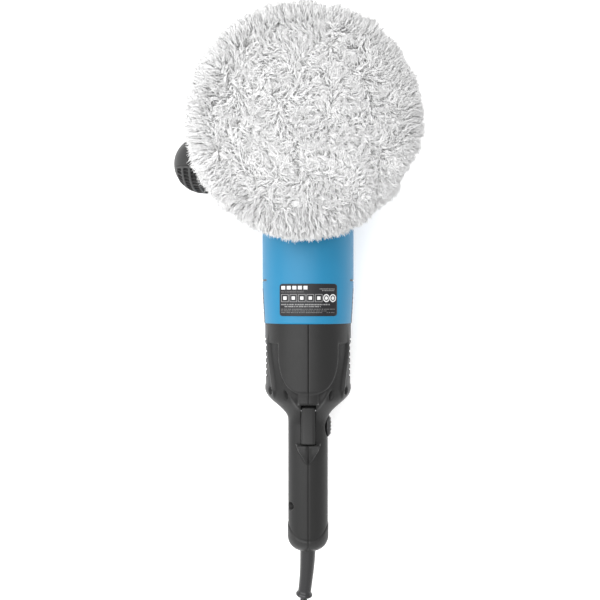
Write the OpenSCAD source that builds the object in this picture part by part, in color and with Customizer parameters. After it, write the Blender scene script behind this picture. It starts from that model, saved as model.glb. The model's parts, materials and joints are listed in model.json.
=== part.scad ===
// Rotary polisher with a wool bonnet, lying on its back.
// +Z runs out of the pad along the spindle, +Y points from the motor to the gear head, and the
// origin is where the spindle axis meets the flat back of the gear head.
// Lengths are in millimetres. "d" is a distance from the spindle towards the handle.

/* [Motor] */
// Height of the motor axis above the flat back of the gear head
motor_h = 46; // [44:1:52]
// Diameter of the motor housing at the gear head
motor_d = 91; // [86:1:110]
// Diameter of the motor housing where it meets the handle
motor_rear_d = 87; // [86:1:100]
// Length of the motor housing
motor_len = 120; // [114:1:145]
// Diameter of the stator core
stator_d = 79; // [72:1:79]
// Length of the stator and armature cores
stator_len = 50; // [36:1:50]
// Diameter of the armature core
armature_d = 46; // [38:1:48]
// Diameter of the commutator
commutator_d = 26; // [20:1:30]

/* [Gears] */
// Module of the armature pinion and the reduction gear
spur_module = 1; // [0.8:0.05:1.1]
// Teeth on the armature pinion
spur_pinion_teeth = 8; // [8:1:10]
// Teeth on the reduction gear
spur_gear_teeth = 32; // [28:1:34]
// Width of the reduction gear
spur_w = 9; // [6:1:10]
// Module of the bevel gears at their outer end
bevel_module = 2.4; // [2:0.1:2.5]
// Teeth on the bevel pinion
bevel_pinion_teeth = 11; // [10:1:12]
// Teeth on the crown gear
bevel_gear_teeth = 26; // [24:1:27]
// Width of the bevel teeth along the cone
bevel_w = 10; // [7:1:11]

/* [Gear head] */
// Outer diameter of the spindle case
case_d = 84; // [82:1:92]
// Distance from the spindle to the rear face of the gear head
head_rear = 58; // [57:1:62]
// Wall of the gear head casting
head_wall = 6; // [4:0.5:7]
// Thickness of the gear case plate
case_plate_t = 6; // [5:0.5:8]
// Diameter of the output thread on the spindle
spindle_thread_d = 14; // [12:1:16]
// Depth of the threaded holes for the side handle
side_hole_len = 14; // [10:1:16]
// Diameter of the thread on the side handle
side_thread_d = 10; // [8:1:12]

/* [Pad] */
// Diameter of the foam backing pad
pad_d = 178; // [150:1:200]
// Thickness of the foam backing pad
pad_t = 18; // [12:1:24]
// Length of the wool pile
pile = 18; // [10:1:22]
// Gap between the bearing plate and the pad hub
pad_gap = 3; // [2:0.5:6]

/* [Rear handle] */
// Diameter of the rear housing
rear_d = 86; // [84:1:96]
// Length of the straight part of the rear housing
rear_len = 64; // [60:1:90]
// Length of the flare from the rear housing into the grip
flare_len = 30; // [26:1:44]
// Length of the grip behind the flare
grip_len = 132; // [120:1:160]
// Width of the grip, side to side
grip_w = 39.5; // [36:0.5:44]
// Depth of the grip, pad side to back
grip_h = 44; // [40:0.5:48]
// Wall of the handle shells
shell_wall = 2.8; // [2.2:0.1:3.2]
// Width of the trigger
trigger_w = 13.6; // [10:0.2:16]
// Length of the trigger
trigger_len = 38; // [30:1:42]
// Swing of the trigger in degrees
trigger_swing = 8; // [4:0.5:9]
// Length of the lock-on button
lock_on_len = 22; // [16:1:26]
// Diameter of the cord
cord_d = 7; // [6:0.5:8]

/* [Side handle] */
// Largest diameter of the side handle
side_d = 57; // [44:1:58]
// Length of the side handle outside its boss
side_len = 85; // [74:1:110]
// Angle by which the side handle leans away from the pad
side_drop = 16; // [0:1:18]
// Angle by which the side handle leans forward
side_lead = 6; // [0:1:15]

/* [Hidden] */
$fn = 72;
eps = 0.02;                     // overlap that keeps a cut clean
run = 0.05;                     // radial clearance of a running fit
slip = 0.3;                     // clearance between pieces that must not touch
pressure = 20;                  // pressure angle of every tooth
backlash = 0.16;                // play between mating teeth, measured at the pitch line

// Places along the motor axis
motor_front = head_rear + case_plate_t;
motor_rear = motor_front + motor_len;
fan_front = motor_front + 14;
fan_w = 10;
fan_d = stator_d - 3;
baffle_front = fan_front + fan_w + 1.5;
stator_front = motor_rear - 84;
stator_rear = stator_front + stator_len;
winding_w = 7;
pole_gap = (stator_d - armature_d) / 2;   // room between the armature and the stator's outside
commutator_front = motor_rear - 26;
commutator_w = 15;
brush_at = commutator_front + commutator_w / 2 + 1;
rear_bearing_front = motor_rear - 8;

// Bearings: [bore, outside, width] in diameters
main_bearing = [15, 35, 11];
tail_bearing = [8, 22, 7];
lay_bearing = [10, 26, 8];
lay_tail_bearing = [8, 16, 6];
front_bearing = [10, 30, 9];
rear_bearing = [8, 22, 7];
sleeve_t = 1.5;

// Gear geometry
spur_centres = spur_module * (spur_pinion_teeth + spur_gear_teeth) / 2;
spur_shift = 0.5;
spur_front = head_rear - spur_w - 3;
lay_h = motor_h + spur_centres;
pinion_cone = atan(bevel_pinion_teeth / bevel_gear_teeth);
crown_cone = 90 - pinion_cone;
bevel_shift = 0.35;
pinion_r = bevel_module * bevel_pinion_teeth / 2;
crown_r = bevel_module * bevel_gear_teeth / 2;
cone_len = norm([pinion_r, crown_r]);
crown_h = lay_h - pinion_r;
crown_back = crown_h - 12;
crown_hub_top = crown_h + 3;
crown_hub_d = 27;
crown_bore_d = 16;

// Heights in the gear head
head_floor = 8;
head_top = lay_h + pinion_r + bevel_module * 2;
chamber_r = crown_r + 4.3;
lay_bearing_front = chamber_r + 1.2;
gear_room_front = lay_bearing_front + lay_bearing[2];
gear_room_r = spur_centres + spur_module * (spur_gear_teeth / 2 + 1) + 1;
lug_at = (motor_d / 2 + 5) * [0.752, 0.658];
lug_r = 6.5;
lug_screw_d = 5;
lug_len = 8;
bearing_plate_t = 10;
plate_top = head_top + bearing_plate_t;
main_bearing_h = plate_top - main_bearing[2] - 2;
seal_t = 4;
neck_h = 4;
flange_h = plate_top + neck_h + 0.5;
flange_t = 4;
tail_bearing_h = 10;
collar_h = tail_bearing_h + tail_bearing[2] + 6;
collar_d = 20;
collar_t = crown_back - collar_h;
lock_h = collar_h + collar_t / 2;
lock_pin_d = 5;
lock_hole_depth = 4.5;
lock_travel = 5;
lock_boss_d = 20;
lock_boss_len = 7;
lock_button_d = 13;
spring_wire = 0.9;

// Side handle bosses, where the handle's axis leaves the casting
side_root_x = motor_d / 2 + 7;
side_root_d = 30;
side_root_h = 54;
side_boss_d = 26;
side_neck_r = 17;
side_flange_r = 20;
side_flange_t = 5;
side_sleeve_t = 3;
side_split = -6;
side_sleeve_from = 12;
side_sleeve_to = side_len - 8;
side_widest = side_len - 30;

// Pad stack
hub_h = flange_h + flange_t;
plate_h = hub_h + 5;
pad_plate_t = 5;
foam_h = plate_h + pad_plate_t;
foam_top = foam_h + pad_t;
skin_t = 2;
bonnet_r = pad_d / 2 + skin_t + pile;
bonnet_low = plate_h - 6;
bonnet_top = foam_top + skin_t + pile;
hem_r = pad_d / 2 - 14;
hem_wire = 4;

// Rear handle, as distances behind the spindle
rear_front = motor_rear;
flare_front = rear_front + rear_len;
grip_front = flare_front + flare_len;
grip_rear = grip_front + grip_len;
tongue = 5;
flare_steps = 14;
boss_r = 4.2;
screw_d = 3.6;
screw_head_d = 6.8;
screw_head_h = 2.6;
// Each shell screw as [distance behind the spindle, height above the motor axis]
shell_screws = [
    [rear_front + 14, 34], [rear_front + 14, -34],
    [flare_front - 4, -30], [grip_front + 86, 13], [grip_front + 44, -14], [grip_rear - 24, -13]
];

trigger_front = flare_front + 15;
trigger_rear = trigger_front + trigger_len;
trigger_top = motor_h + 33;
trigger_pin_d = 3;
trigger_pin_at = trigger_front + 5;
trigger_pin_h = motor_h + 25;
stop_front = trigger_rear + 1.2;
stop_w = 25;
brow_w = 19;
brow_len = 11;
stop_len = 20;
switch_front = trigger_front + 8;
switch_size = [20, 34, 19];
switch_h = motor_h - 6;
foot_at = trigger_front + 22;
foot_len = 6;
foot_w = 6;
foot_sweep = 3.5;                // how far the foot swings forward as it goes down
lock_on_at = trigger_front + 23;
lock_on_w = 12;
lock_on_out = 3.5;
lock_on_travel = 3;
lock_on_h = motor_h + 2;
dial_at = rear_front + 38;
dial_r = 10.5;
dial_w = 6;
dial_h = dial_r + 1.5;
dial_axle_d = 5;
vent_count = 7;
vent_pitch = 6;

// Cord: hand-chosen points, from the tip of the cord guard to the coil
guard_base = [0, -(grip_rear - 5), motor_h];
coil_mean_r = 40;
coil_centre = [39, -grip_rear - 180];
coil_in_x = coil_centre[0] - coil_mean_r - cord_d;
coil_out_x = coil_centre[0] + coil_mean_r + cord_d;
// Points as [x, distance behind the handle, height]
function behind(points) = [for (p = points) [p[0], -grip_rear - p[1], p[2]]];
cord_route = behind([
    [-4, 49, 40], [-6, 76, 37], [-7, 90, 34], [coil_in_x, 103, 29], [coil_in_x, 116, 23],
    [coil_in_x, 129, 16], [coil_in_x, 142, 9], [coil_in_x, 155, 5],
    [coil_in_x, 168, cord_d / 2], [coil_in_x, 180, cord_d / 2]
]);
tail_route = behind([
    [coil_out_x, 180, 2.5 * cord_d], [coil_out_x, 168, 17], [coil_out_x, 156, 14.5],
    [coil_out_x, 146, 13], [coil_out_x, 140, 13]
]);
coil_turns_wide = 3;
coil_turns_high = 3;
coil_w = coil_turns_wide * cord_d;
coil_h = coil_turns_high * cord_d;
plug_r = 12.5;
plug_len = 38;
tie_w = 12;
tie_t = 0.9;

// Derived places
plate_screw_r = case_d / 2 - 3.3;
plate_screw_d = 3.2;
plate_screw_head_d = 6;
lock_pocket = chamber_r + 2.5;
seal_d = 27;
lock_button_from = lock_pocket + 9;
clip_h = crown_hub_top + 0.2;
clip_t = 1.2;
flange_r = 13;
spindle_end = foam_h + 4;
key_w = 4;
key_len = 9;
pinion_back = cone_len * cos(pinion_cone) + 2.3;
armature_shaft_r = 6;
cover_len = 36;
cover_w = 20;
motor_bore_r = stator_d / 2;
stator_screw_d = 4;
tongue_r = rear_d / 2 - shell_wall - 0.2;
label_size = [55, 31];
label_at = motor_rear - 23;
holder_size = [12, 11];
brush_size = [10, 7];
brush_len = 16;
brush_from = commutator_d / 2 + 0.05;
holder_from = commutator_d / 2 + 1.2;
holder_to = motor_r(brush_at + cover_len / 2) - 2.6;
end_len = 15;
end_fill = 0.9;
trigger_pin_len = trigger_w + 9;
screw_seat = 8;
switch_top = switch_h + switch_size[2] / 2;
foot_h = switch_top - 1;
lock_on_inner = grip_w / 2 - shell_wall - 2.4;
guard_r = 7.5;
guard_tip_r = 6.6;
guard_len = norm(cord_route[0] - guard_base);
clamp_at = grip_rear - 17;
clamp_h = motor_h + cord_d / 2 + 1.6;
clamp_t = 3;
clamp_screw_x = cord_d / 2 + 4.5;
stud_in = 32;

// ---------------------------------------------------------------- places and plain shapes

// Puts children on the motor axis: local z runs from the spindle to the handle, local y runs up
module rearward(d = 0, x = 0, h = motor_h) translate([x, -d, h]) rotate([90, 0, 0]) children();

// Puts children at a side-handle boss: local z runs out along the handle; side is 1 or -1
module side_frame(side) {
    mirror([side < 0 ? 1 : 0, 0, 0]) translate([side_root_x, -side_root_d, side_root_h])
        rotate([0, 0, side_lead]) rotate([0, 90 + side_drop, 0]) children();
}
// Points local z from one point to another
module aim(from, to) {
    v = to - from;
    translate(from) rotate([0, acos(v[2] / norm(v)), atan2(v[1], v[0])]) children();
}

module ring(r_out, r_in, len) {
    difference() {
        cylinder(r = r_out, h = len);
        translate([0, 0, -eps]) cylinder(r = r_in, h = len + 2 * eps);
    }
}

// A bearing with its inner race, balls and outer race as separate solids
module bearing(size) {
    bore = size[0] / 2 + run;
    out = size[1] / 2;
    w = size[2];
    race = (out - bore) * 0.3;
    ball_at = (bore + out) / 2;
    ball_r = (out - bore) * 0.24;
    ball_count = floor(2 * PI * ball_at / (ball_r * 2.9));
    ring(bore + race, bore, w);
    ring(out, out - race, w);
    for (i = [0 : ball_count - 1]) rotate(i * 360 / ball_count)
        translate([ball_at, 0, w / 2]) sphere(r = min(ball_r, ball_at - bore - race - 0.1), $fn = 24);
}

// A slot with round ends, standing on z = 0
module slot_bar(len, w, h) {
    hull() for (s = [-1, 1]) translate([s * (len - w) / 2, 0, 0]) cylinder(d = w, h = h, $fn = 32);
}

// A pan-head screw: its head sits on z = 0 and its shank points along -z
module pan_screw(d, len, head_d, head_h) {
    translate([0, 0, -len]) cylinder(d = d, h = len + eps);
    difference() {
        rotate_extrude() polygon([
            [0, 0], [head_d / 2, 0], [head_d / 2, head_h * 0.5], [head_d * 0.32, head_h], [0, head_h]
        ]);
        for (a = [0, 90]) rotate(a)
            translate([-head_d * 0.28, -0.4, head_h * 0.45]) cube([head_d * 0.56, 0.8, head_h]);
    }
}

// ---------------------------------------------------------------- curves

function blend(a, b, t) = a + (b - a) * (1 - cos(180 * min(1, max(0, t)))) / 2;

// A smooth route through given points (Catmull-Rom), "n" steps to a span
function route_point(p, i, t) =
    let (a = p[max(i - 1, 0)], b = p[i], c = p[i + 1], d = p[min(i + 2, len(p) - 1)])
    0.5 * (2 * b + (c - a) * t + (2 * a - 5 * b + 4 * c - d) * t * t
        + (3 * b - a - 3 * c + d) * t * t * t);
function smooth_route(p, n) = concat(
    [for (i = [0 : len(p) - 2], k = [0 : n - 1]) route_point(p, i, k / n)], [p[len(p) - 1]]);

// The direction of a path at point i
function heading(p, i) =
    let (v = p[min(i + 1, len(p) - 1)] - p[max(i - 1, 0)]) v / norm(v);

// A round tube along a path that never runs straight up, as one closed solid
module sweep(path, r, sides) {
    n = len(path);
    rings = [for (i = [0 : n - 1])
        let (t = heading(path, i), s = cross(t, [0, 0, 1]), u = s / norm(s), v = cross(u, t))
        for (k = [0 : sides - 1]) path[i] + r * (cos(360 * k / sides) * u + sin(360 * k / sides) * v)];
    walls = [for (i = [0 : n - 2], k = [0 : sides - 1])
        let (a = i * sides + k, b = i * sides + (k + 1) % sides) each
            [[a, b, a + sides], [b, b + sides, a + sides]]];
    first = [for (k = [sides - 1 : -1 : 0]) k];
    last = [for (k = [0 : sides - 1]) (n - 1) * sides + k];
    polyhedron(points = rings, faces = concat(walls, [first, last]), convexity = 8);
}

// A compression spring standing on z = 0, with closed ends
module coil_spring(r, wire, turns, len) {
    sides = 6;
    per_turn = 14;
    n = turns * per_turn;
    rise = len - wire;
    rings = [for (i = [0 : n])
        let (a = 360 * i / per_turn, z = wire / 2 + rise * i / n)
        for (k = [0 : sides - 1])
            let (b = 360 * k / sides, q = r + wire / 2 * cos(b))
            [q * cos(a), q * sin(a), z + wire / 2 * sin(b)]];
    walls = [for (i = [0 : n - 1], k = [0 : sides - 1])
        let (a = i * sides + k, b = i * sides + (k + 1) % sides) each
            [[a, a + sides, b], [b, a + sides, b + sides]]];
    first = [for (k = [0 : sides - 1]) k];
    last = [for (k = [sides - 1 : -1 : 0]) n * sides + k];
    polyhedron(points = rings, faces = concat(walls, [first, last]), convexity = 10);
}

// ---------------------------------------------------------------- teeth

function involute(a) = tan(a) - a * PI / 180;

// Half the angle that a tooth fills at radius r, for a gear of n teeth and profile shift x
function half_tooth(n, m, x, r) =
    let (base = m * n / 2 * cos(pressure), at = r > base ? acos(base / r) : 0)
    (90 + 2 * x * tan(pressure) * 180 / PI) / n - backlash / 4 / (m * n / 2) * 180 / PI
        + (involute(pressure) - involute(at)) * 180 / PI;

// Radii at which a flank is sampled, from root to tip
function flank_radii(n, m, x) =
    let (root = m * (n / 2 - 1.25 + x), base = m * n / 2 * cos(pressure), tip = m * (n / 2 + 0.92 + x),
        from = max(root + 0.05 * m, base))
    concat([root], [for (k = [0 : 4]) from + (tip - from) * k / 4]);

// One tooth as [radius, angle] pairs, from its leading root to its trailing root
function tooth(n, m, x) =
    let (rs = flank_radii(n, m, x), last = len(rs) - 1) concat(
        [for (k = [0 : last]) [rs[k], -half_tooth(n, m, x, rs[k])]],
        [for (k = [last : -1 : 0]) [rs[k], half_tooth(n, m, x, rs[k])]]);

function polar(p) = [p[0] * cos(p[1]), p[0] * sin(p[1])];

// Outline of a spur gear whose first tooth points along +x
function spur_outline(n, m, x) =
    [for (i = [0 : n - 1]) for (p = tooth(n, m, x)) polar([p[0], p[1] + i * 360 / n])];

// One end of a straight bevel gear: points about its axis, z measured from the cone's apex.
// Each profile lies on the back cone, and the whole is scaled towards the apex.
function bevel_ring(n, m, x, cone, scale_to) =
    let (pitch = m * n / 2, far = pitch / sin(cone), virtual = n / cos(cone))
    [for (i = [0 : n - 1]) for (p = tooth(virtual, m, x))
        let (a = p[1] / cos(cone) + i * 360 / n, q = p[0] * cos(cone))
        scale_to * [q * cos(a), q * sin(a), far / cos(cone) - p[0] * sin(cone)]];

// A straight bevel gear with its apex at the origin and its back face at height "back"
module bevel_teeth(n, m, x, cone, w, back) {
    far = m * n / 2 / sin(cone);
    heel = bevel_ring(n, m, x, cone, 1);
    toe = bevel_ring(n, m, x, cone, 1 - w / far);
    count = len(heel);
    back_r = m * (n / 2 - 1.6) ;
    rim = [for (k = [0 : count - 1]) let (a = atan2(heel[k][1], heel[k][0]))
        [back_r * cos(a), back_r * sin(a), back]];
    nose = toe[0][2];
    points = concat(heel, toe, rim, [[0, 0, nose]], [[0, 0, back]]);
    faces = [for (k = [0 : count - 1]) let (j = (k + 1) % count) each [
        [k, j, count + k], [j, count + j, count + k],
        [count + k, count + j, 3 * count],
        [j, k, 2 * count + j], [k, 2 * count + k, 2 * count + j],
        [2 * count + j, 2 * count + k, 3 * count + 1]]];
    polyhedron(points = points, faces = faces, convexity = 10);
}

// ---------------------------------------------------------------- gear head

module at_lugs() for (x = [-1, 1], y = [-1, 1]) translate([x * lug_at[0], y * lug_at[1], 0]) children();

module head_outside() {
    difference() {
        union() {
            cylinder(d = case_d, h = head_top);
            rearward() cylinder(d = motor_d, h = head_rear);
            rearward(head_rear - 14) at_lugs() cylinder(r = lug_r, h = 14);
        }
        // seat of the bearing plate
        translate([0, 0, head_top]) cylinder(d = case_d + 2 * slip, h = motor_d);
    }
    for (side = [-1, 1]) side_frame(side) translate([0, 0, -18]) cylinder(d = side_boss_d, h = 18);
    translate([0, 0, lock_h]) rotate([-90, 0, 0]) cylinder(d = lock_boss_d, h = case_d / 2 + lock_boss_len);
}

module gear_head() color("silver") difference() {
    union() {
        difference() {
            head_outside();
            translate([0, 0, head_floor]) cylinder(r = chamber_r, h = head_top);
            rearward(gear_room_front) cylinder(r = gear_room_r, h = head_rear);
        }
        cylinder(r = tail_bearing[1] / 2 + 3.5, h = tail_bearing_h + tail_bearing[2]);
    }
    // seat of the tail bearing
    translate([0, 0, tail_bearing_h]) cylinder(d = tail_bearing[1], h = tail_bearing[2] + eps);
    translate([0, 0, head_floor - 1]) cylinder(d = tail_bearing[0] + 4, h = 10);
    // seat of the front layshaft bearing
    rearward(lay_bearing_front, 0, lay_h) cylinder(d = lay_bearing[1], h = lay_bearing[2] + eps);
    rearward(chamber_r - 4, 0, lay_h) cylinder(d = lay_bearing[0] + 9, h = lay_bearing[2]);
    // threaded holes for the side handle
    for (side = [-1, 1]) side_frame(side) translate([0, 0, -side_hole_len])
        cylinder(d = side_thread_d + 2 * run, h = side_hole_len + 5);
    // guide and spring pocket of the spindle lock
    translate([0, 0, lock_h]) rotate([-90, 0, 0]) {
        cylinder(d = lock_pin_d + 2 * run, h = case_d);
        translate([0, 0, lock_pocket]) cylinder(d = lock_button_d + 2 * slip, h = case_d);
    }
    rearward(head_rear - 12) at_lugs() cylinder(d = lug_screw_d, h = 14);
    for (a = [45 : 90 : 315]) rotate(a) translate([plate_screw_r, 0, head_top - 10])
        cylinder(d = plate_screw_d, h = 12);
}

module bearing_plate() color("silver") difference() {
    union() {
        translate([0, 0, head_top]) cylinder(d = case_d, h = bearing_plate_t);
        translate([0, 0, main_bearing_h - 1])
            cylinder(d = main_bearing[1] + 6, h = plate_top - main_bearing_h);
        translate([0, 0, plate_top - eps]) cylinder(d = main_bearing[1] + 3, h = neck_h);
    }
    translate([0, 0, main_bearing_h - 2]) cylinder(d = main_bearing[1], h = main_bearing[2] + 2);
    translate([0, 0, main_bearing_h]) cylinder(d = seal_d, h = 40);
    for (a = [45 : 90 : 315]) rotate(a) translate([plate_screw_r, 0, 0]) {
        translate([0, 0, head_top - eps]) cylinder(d = plate_screw_d + 0.4, h = 20);
        translate([0, 0, plate_top - 3.5]) cylinder(d = plate_screw_head_d + 0.8, h = 20);
    }
}

module bearing_plate_screws() color("dimgray") for (a = [45 : 90 : 315]) rotate(a)
    translate([plate_screw_r, 0, plate_top - 3.5]) pan_screw(plate_screw_d, 15, plate_screw_head_d, 2.4);

module gear_head_screws() color("dimgray") rearward(motor_front + lug_len) at_lugs()
    pan_screw(lug_screw_d, lug_len + case_plate_t + 11, 8.6, 3.6);

module spindle_bearings() color("gainsboro") {
    translate([0, 0, main_bearing_h]) bearing(main_bearing);
    translate([0, 0, tail_bearing_h]) bearing(tail_bearing);
}

module layshaft_bearings() color("gainsboro") {
    rearward(lay_bearing_front, 0, lay_h) bearing(lay_bearing);
    rearward(head_rear, 0, lay_h) bearing(lay_tail_bearing);
}

module dust_seal() color("black") translate([0, 0, main_bearing_h + main_bearing[2] + slip])
    ring(seal_d / 2, main_bearing[0] / 2 + 0.2, seal_t);

module gear_case_plate() color("silver") difference() {
    union() {
        rearward(head_rear) {
            cylinder(d = motor_d, h = case_plate_t);
            at_lugs() cylinder(r = lug_r, h = case_plate_t);
        }
        rearward(motor_front - eps) cylinder(d = front_bearing[1] + 7, h = front_bearing[2] + 3);
    }
    rearward(head_rear, 0, lay_h) translate([0, 0, -eps])
        cylinder(d = lay_tail_bearing[1], h = case_plate_t + 2 * eps);
    rearward(head_rear - 1) cylinder(d = front_bearing[0] + 8, h = 20);
    rearward(motor_front + 1) cylinder(d = front_bearing[1], h = 20);
    // windows that let the cooling air out through the head
    rearward(head_rear - 1) for (a = [180 : 36 : 360]) rotate(a) translate([30, 0, 0])
        cylinder(d = 12, h = 20);
    rearward(head_rear - 1) at_lugs() cylinder(d = lug_screw_d + 0.6, h = 20);
}

module spindle_lock() color("dimgray") translate([0, 0, lock_h]) rotate([-90, 0, 0]) {
    translate([0, 0, collar_d / 2 + 1]) cylinder(d = lock_pin_d, h = lock_button_from + 2 - collar_d / 2);
    translate([0, 0, chamber_r - 4]) cylinder(d = lock_pin_d + 3, h = 2);
    translate([0, 0, lock_button_from]) rotate_extrude() polygon([
        [0, 0], [lock_button_d / 2, 0], [lock_button_d / 2, 8], [lock_button_d / 2 - 1.5, 9.5], [0, 9.5]
    ]);
}

module lock_spring() color("gray") translate([0, lock_pocket + 0.1, lock_h]) rotate([-90, 0, 0])
    coil_spring(4.2, spring_wire, 4, lock_button_from - lock_pocket - 0.2);

// ---------------------------------------------------------------- spindle and gears

module spindle() color("gainsboro") difference() {
    rotate_extrude() polygon([
        [0, tail_bearing_h - 1], [tail_bearing[0] / 2, tail_bearing_h - 1],
        [tail_bearing[0] / 2, collar_h], [collar_d / 2, collar_h], [collar_d / 2, crown_back],
        [crown_bore_d / 2, crown_back], [crown_bore_d / 2, clip_h],
        [crown_bore_d / 2 - 0.8, clip_h], [crown_bore_d / 2 - 0.8, clip_h + clip_t],
        [crown_bore_d / 2, clip_h + clip_t], [crown_bore_d / 2, clip_h + clip_t + 1.2],
        [main_bearing[0] / 2, clip_h + clip_t + 1.2], [main_bearing[0] / 2, flange_h],
        [flange_r, flange_h], [flange_r, hub_h], [spindle_thread_d / 2, hub_h],
        [spindle_thread_d / 2, spindle_end - 1], [spindle_thread_d / 2 - 1, spindle_end], [0, spindle_end]
    ]);
    // four holes for the lock pin
    for (a = [0 : 90 : 270]) rotate(a) translate([0, collar_d / 2 - lock_hole_depth, lock_h])
        rotate([-90, 0, 0]) cylinder(d = lock_pin_d + 0.5, h = 10);
    key_block(0);
    // flats for a spanner
    for (s = [-1, 1]) translate([s * 8.5, -20, flange_h - eps]) translate([s > 0 ? 0 : -20, 0, 0])
        translate([s * 2.5, 0, 0]) cube([20, 40, flange_t + 2 * eps]);
}

module key_block(grow) translate([crown_bore_d / 2 - 2 - grow, -key_w / 2 - grow, crown_back + 2 - grow])
    cube([4 + 2 * grow, key_w + 2 * grow, key_len + 2 * grow]);

module crown_key() color("gray") key_block(0);

module crown_gear() color("slategray") difference() {
    union() {
        translate([0, 0, lay_h]) rotate([180, 0, 0]) rotate(90 + 180 / bevel_gear_teeth)
            bevel_teeth(bevel_gear_teeth, bevel_module, -bevel_shift, crown_cone, bevel_w, lay_h - crown_back);
        translate([0, 0, crown_back]) cylinder(d = crown_hub_d, h = crown_hub_top - crown_back);
    }
    translate([0, 0, crown_back - 5]) cylinder(d = crown_bore_d, h = 40);
    key_block(0);
    translate([crown_bore_d / 2 - 2, -key_w / 2, crown_back + 1]) cube([4, key_w, 30]);
}

module spindle_circlip() color("dimgray") translate([0, 0, clip_h]) difference() {
    ring(crown_bore_d / 2 + 1.8, crown_bore_d / 2 - 0.8, clip_t);
    translate([0, -2, -1]) cube([20, 4, 5]);
}

module layshaft() color("slategray") {
    rearward(0, 0, lay_h) rotate(-90)
        bevel_teeth(bevel_pinion_teeth, bevel_module, bevel_shift, pinion_cone, bevel_w, pinion_back);
    rearward(0, 0, lay_h) rotate_extrude() polygon([
        [0, pinion_back - 1], [lay_bearing[0] / 2 + 2.5, pinion_back - 1],
        [lay_bearing[0] / 2 + 2.5, lay_bearing_front], [lay_bearing[0] / 2, lay_bearing_front],
        [lay_bearing[0] / 2, head_rear - 2], [lay_tail_bearing[0] / 2, head_rear - 2],
        [lay_tail_bearing[0] / 2, head_rear + lay_tail_bearing[2]], [0, head_rear + lay_tail_bearing[2]]
    ]);
}

module reduction_gear() color("slategray") rearward(spur_front, 0, lay_h)
    rotate(270 + 180 / spur_gear_teeth)
    difference() {
        linear_extrude(spur_w) difference() {
            polygon(spur_outline(spur_gear_teeth, spur_module, -spur_shift));
            circle(d = lay_bearing[0]);
        }
        translate([0, 0, -eps]) ring(spur_module * spur_gear_teeth / 2 - 4, 8.5, 2);
        translate([0, 0, spur_w - 2]) ring(spur_module * spur_gear_teeth / 2 - 4, 8.5, 3);
    }

module armature_shaft() color("gainsboro") {
    rearward(spur_front) rotate(90) linear_extrude(spur_w + 0.5)
        polygon(spur_outline(spur_pinion_teeth, spur_module, spur_shift));
    rearward() rotate_extrude() polygon([
        [0, spur_front + spur_w], [3.8, spur_front + spur_w], [3.8, motor_front - 1],
        [front_bearing[0] / 2, motor_front - 1], [front_bearing[0] / 2, motor_front + 1 + front_bearing[2]],
        [armature_shaft_r, motor_front + 1 + front_bearing[2]], [armature_shaft_r, rear_bearing_front - 2],
        [rear_bearing[0] / 2, rear_bearing_front - 2], [rear_bearing[0] / 2, motor_rear - 1],
        [0, motor_rear - 1]
    ]);
}

// ---------------------------------------------------------------- motor

// Outer radius of the motor housing at distance d
function motor_r(d) = motor_d / 2 - (motor_d - motor_rear_d) / 2
    * min(1, max(0, (d - motor_front - 84) / (motor_len - 84)));

// The outer skin of the motor housing, from "inner" to "outer" beyond the surface
module motor_skin(inner, outer) rearward() rotate_extrude() polygon([
    [motor_r(motor_front) + inner, motor_front], [motor_r(motor_front) + outer, motor_front],
    [motor_r(motor_front) + outer, motor_front + 84], [motor_r(motor_rear) + outer, motor_rear],
    [motor_r(motor_rear) + inner, motor_rear], [motor_r(motor_front) + inner, motor_front + 84]
]);

module brush_cover_blank(grow) for (side = [-1, 1]) intersection() {
    motor_skin(-2.4 - grow, grow > 0 ? 2 : 0.3);
    translate([side * motor_d / 2, -brush_at, motor_h])
        cube([20, cover_len + 2 * grow, cover_w + 2 * grow], center = true);
}

module motor_housing() color([0.13, 0.5, 0.74]) difference() {
    union() {
        motor_skin(-(motor_d / 2 - motor_bore_r + 2), 0);
        rearward(motor_front) at_lugs() cylinder(r = lug_r, h = lug_len);
        rearward(motor_rear - 9) cylinder(r = motor_bore_r, h = 9);
        rearward(stator_rear) at_stator_screws() cylinder(r = 5, h = motor_rear - stator_rear - 5);
        rearward(motor_rear - eps) ring(tongue_r, tongue_r - 2.5, tongue);
    }
    difference() {
        rearward(motor_front - 1) cylinder(r = motor_bore_r, h = motor_len - 8);
        rearward(stator_rear) at_stator_screws() cylinder(r = 5, h = motor_len);
    }
    rearward(stator_rear - 1) at_stator_screws() cylinder(d = stator_screw_d, h = 14);
    rearward(rear_bearing_front - 2) cylinder(d = rear_bearing[1] + 2 * sleeve_t, h = rear_bearing[2] + 2);
    rearward(rear_bearing_front) cylinder(d = rear_bearing[0] + 5, h = 20);
    rearward(motor_rear - 12) for (a = [30 : 60 : 330]) rotate(a) translate([26, 0, 0])
        cylinder(d = 15, h = 20);
    rearward(motor_front - 1) at_lugs() cylinder(d = lug_screw_d + 0.6, h = 20);
    brush_cover_blank(slip);
    for (side = [-1, 1]) translate([side * motor_d / 2, -brush_at, motor_h])
        cube([2 * (motor_d / 2 - motor_bore_r + 2), holder_size[0] + 6, holder_size[1]], center = true);
}

module brush_covers() color([0.16, 0.17, 0.18]) brush_cover_blank(0);

module rating_label() color([0.15, 0.16, 0.17]) intersection() {
    motor_skin(0.02, 0.32);
    translate([-label_size[0] / 2, -label_at - label_size[1] / 2, motor_h])
        cube([label_size[0], label_size[1], motor_d]);
}

module stator_core() color("lightslategray") rearward(stator_front) difference() {
    cylinder(r = motor_bore_r, h = stator_len);
    translate([0, 0, -1]) cylinder(r = armature_d / 2 + 0.6, h = stator_len + 2);
    for (side = [-1, 1]) translate([side * (armature_d / 2 + 0.182 * pole_gap), 0, stator_len / 2])
        cube([0.85 * pole_gap, 0.43 * stator_d, stator_len + 2], center = true);
    at_stator_screws() translate([0, 0, -1]) cylinder(d = stator_screw_d + 0.4, h = stator_len + 2);
}

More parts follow.
